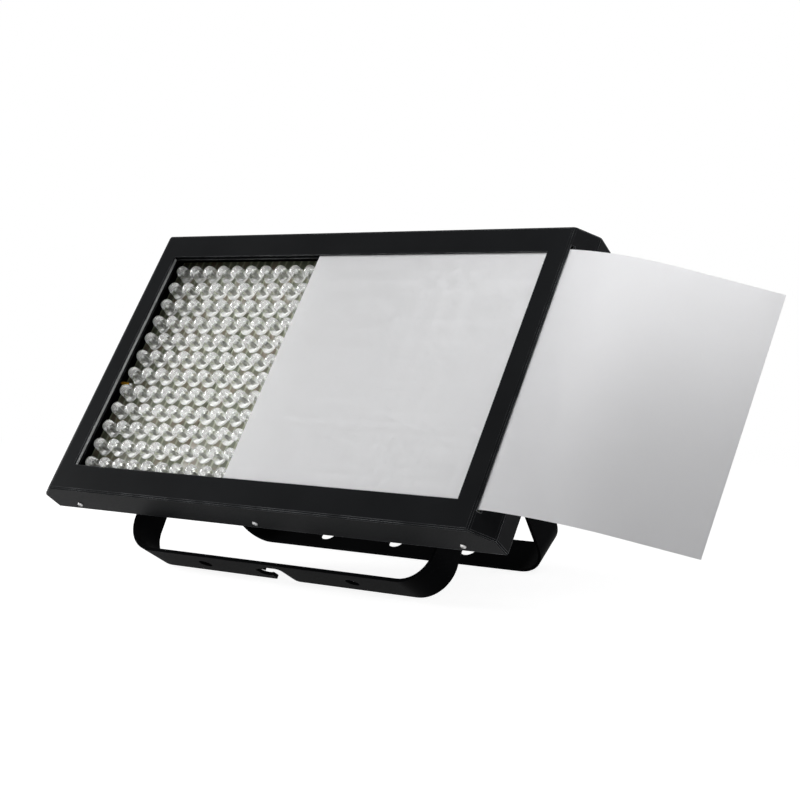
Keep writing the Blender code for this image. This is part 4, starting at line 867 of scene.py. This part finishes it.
def casingSpots():
    depth, height, side = screw["wallDepth"], panel["height"], panel["width"] / 2 + panel["chamferWidth"]
    spots = []
    for x in screw["wallColumns"]:
        spots.append(((x, depth, 0.0), towardFloor))
        spots.append(((x, depth, height), towardTop))
    for up in (screw["sideFromEnd"], height - screw["sideFromEnd"]):
        spots.append(((side, depth, up), towardRight))
        spots.append(((-side, depth, up), towardLeft))
    lipBack = box["front"] + box["sheet"]
    for x in box["screwColumns"]:
        spots.append(((x, lipBack, box["bottom"] - box["lip"]), towardBack))
        spots.append(((x, lipBack, box["top"] + box["lip"]), towardBack))
    across, away = box["controlScrews"]
    for x in (-across, across):
        for up in (-away, away):
            spots.append(((x, box["back"], panel["pivotUp"] + up), towardBack))
    return spots


def socketSpots():
    middle, up, apart = sockets["mainsAt"], sockets["up"], sockets["mainsScrew"]
    places = [(middle - apart, up), (middle + apart, up)]
    across, away = sockets["dataScrew"]
    for x in sockets["dataAt"]:
        places += [(x - across, up + away), (x + across, up - away)]
    small = Matrix.Diagonal((*[sockets["screwShare"]] * 3, 1))
    return [((x, box["back"] + sockets["proud"], z), towardBack @ small) for x, z in places]


def buildScrews():
    shape = screwShape()
    for name, spots, finish, slot, spin in (
            ("casingScrews", casingSpots(), "brightScrew", "screw", 37),
            ("socketScrews", socketSpots(), "strapPaint", "black_plastic", 23)):
        bm = bmesh.new()
        for k, (place, turn) in enumerate(spots):
            slotTurn = Matrix.Rotation(math.radians(spin * k), 4, "Z")
            addCopy(bm, shape, Matrix.Translation(place) @ turn @ slotTurn)
        pieceFrom(name, bm, finish, "housing")
    shape.free()


buildScrews()
print("screws made")

# Floor, backdrop and light
stage = {
    "floorColour": (0.50, 0.50, 0.50), "floorRoughness": 0.9, "lift": 0.88, "size": 8.0,
    "nearRadius": 0.55, "farRadius": 1.2, "ambient": 0.10,
}


# The share of rays that see the backdrop's white: straight, in a reflection or through the lenses
def seenDirectly(tree):
    path = addNode(tree, "ShaderNodeLightPath")
    total = path.outputs["Is Camera Ray"]
    for ray in ("Is Glossy Ray", "Is Transmission Ray"):
        total = maths(tree, "MAXIMUM", total, path.outputs[ray])
    return maths(tree, "SUBTRACT", total, path.outputs["Is Diffuse Ray"], clamp=True)


# Near the part the floor takes its shadow and is lifted towards white; far away it is plain white
def floorMaterial():
    material, tree, shader = newMaterial("floorPaper")
    shader.inputs["Base Color"].default_value = (*stage["floorColour"], 1)
    shader.inputs["Roughness"].default_value = stage["floorRoughness"]
    shader.inputs["Specular IOR Level"].default_value = 0.0
    seen = seenDirectly(tree)
    glow = addNode(tree, "ShaderNodeEmission", None, Strength=maths(tree, "MULTIPLY", seen, stage["lift"]))
    near = addNode(tree, "ShaderNodeAddShader", None, n0=shader.outputs[0], n1=glow.outputs[0])
    white = addNode(tree, "ShaderNodeEmission", None, Strength=seen)
    distance = addNode(tree, "ShaderNodeVectorMath", {"operation": "LENGTH"}, n0=metres(tree))
    fade = addNode(tree, "ShaderNodeMapRange", {"interpolation_type": "SMOOTHSTEP"}, n3=0.0, n4=1.0,
                   n0=distance.outputs["Value"], n1=stage["nearRadius"], n2=stage["farRadius"])
    mixed = mixShaders(tree, fade.outputs["Result"], near, white)
    tree.links.new(mixed.outputs[0], tree.nodes["Material Output"].inputs["Surface"])
    return material


def buildStage():
    bm = bmesh.new()
    bmesh.ops.create_grid(bm, x_segments=1, y_segments=1, size=stage["size"])
    floor = meshObject("floor", bm)
    floor.data.materials.append(floorMaterial())
    world = bpy.data.worlds.new("studio")
    world.use_nodes = True
    tree = world.node_tree
    tree.nodes.clear()
    ambient = addNode(tree, "ShaderNodeBackground", None, Color=(1, 1, 1, 1), Strength=stage["ambient"])
    paper = addNode(tree, "ShaderNodeBackground", None, Color=(1, 1, 1, 1), Strength=1.0)
    mixed = mixShaders(tree, seenDirectly(tree), ambient, paper)
    out = addNode(tree, "ShaderNodeOutputWorld")
    tree.links.new(mixed.outputs[0], out.inputs["Surface"])
    scene.world = world


# Soft lamps: places, aims and sizes in metres, power in watts
lamps = {
    "farLeft": {
        "place": (-1.40, -0.45, 0.45), "aim": (-0.04, 0.0, 0.14), "size": (0.6, 0.6), "power": 15.0},
    "topLeft": {
        "place": (-0.35, -0.25, 0.65), "aim": (-0.10, 0.0, 0.15), "size": (0.5, 0.3), "power": 0.7},
    "topRight": {
        "place": (0.24, -0.06, 0.42), "aim": (0.20, 0.0, 0.20), "size": (0.34, 0.10), "power": 0.53},
    "rearRight": {
        "place": (1.30, 0.75, 0.22), "aim": (0.10, 0.05, 0.13), "size": (0.5, 0.4), "power": 5.0},
    "lowFront": {
        "place": (-0.02, -0.36, 0.06), "aim": (0.08, 0.0, 0.10), "size": (0.3, 0.1), "power": 0.22},
}


def buildLamps():
    for name, lamp in lamps.items():
        data = bpy.data.lights.new(name, "AREA")
        data.shape = "RECTANGLE"
        data.size, data.size_y = lamp["size"]
        data.energy = lamp["power"]
        obj = bpy.data.objects.new(name, data)
        obj.location = lamp["place"]
        toAim = Vector(lamp["aim"]) - Vector(lamp["place"])
        obj.rotation_euler = toAim.to_track_quat("-Z", "Y").to_euler()
        obj.visible_camera = False
        scene.collection.objects.link(obj)


buildStage()
buildLamps()
print("stage and lamps made")
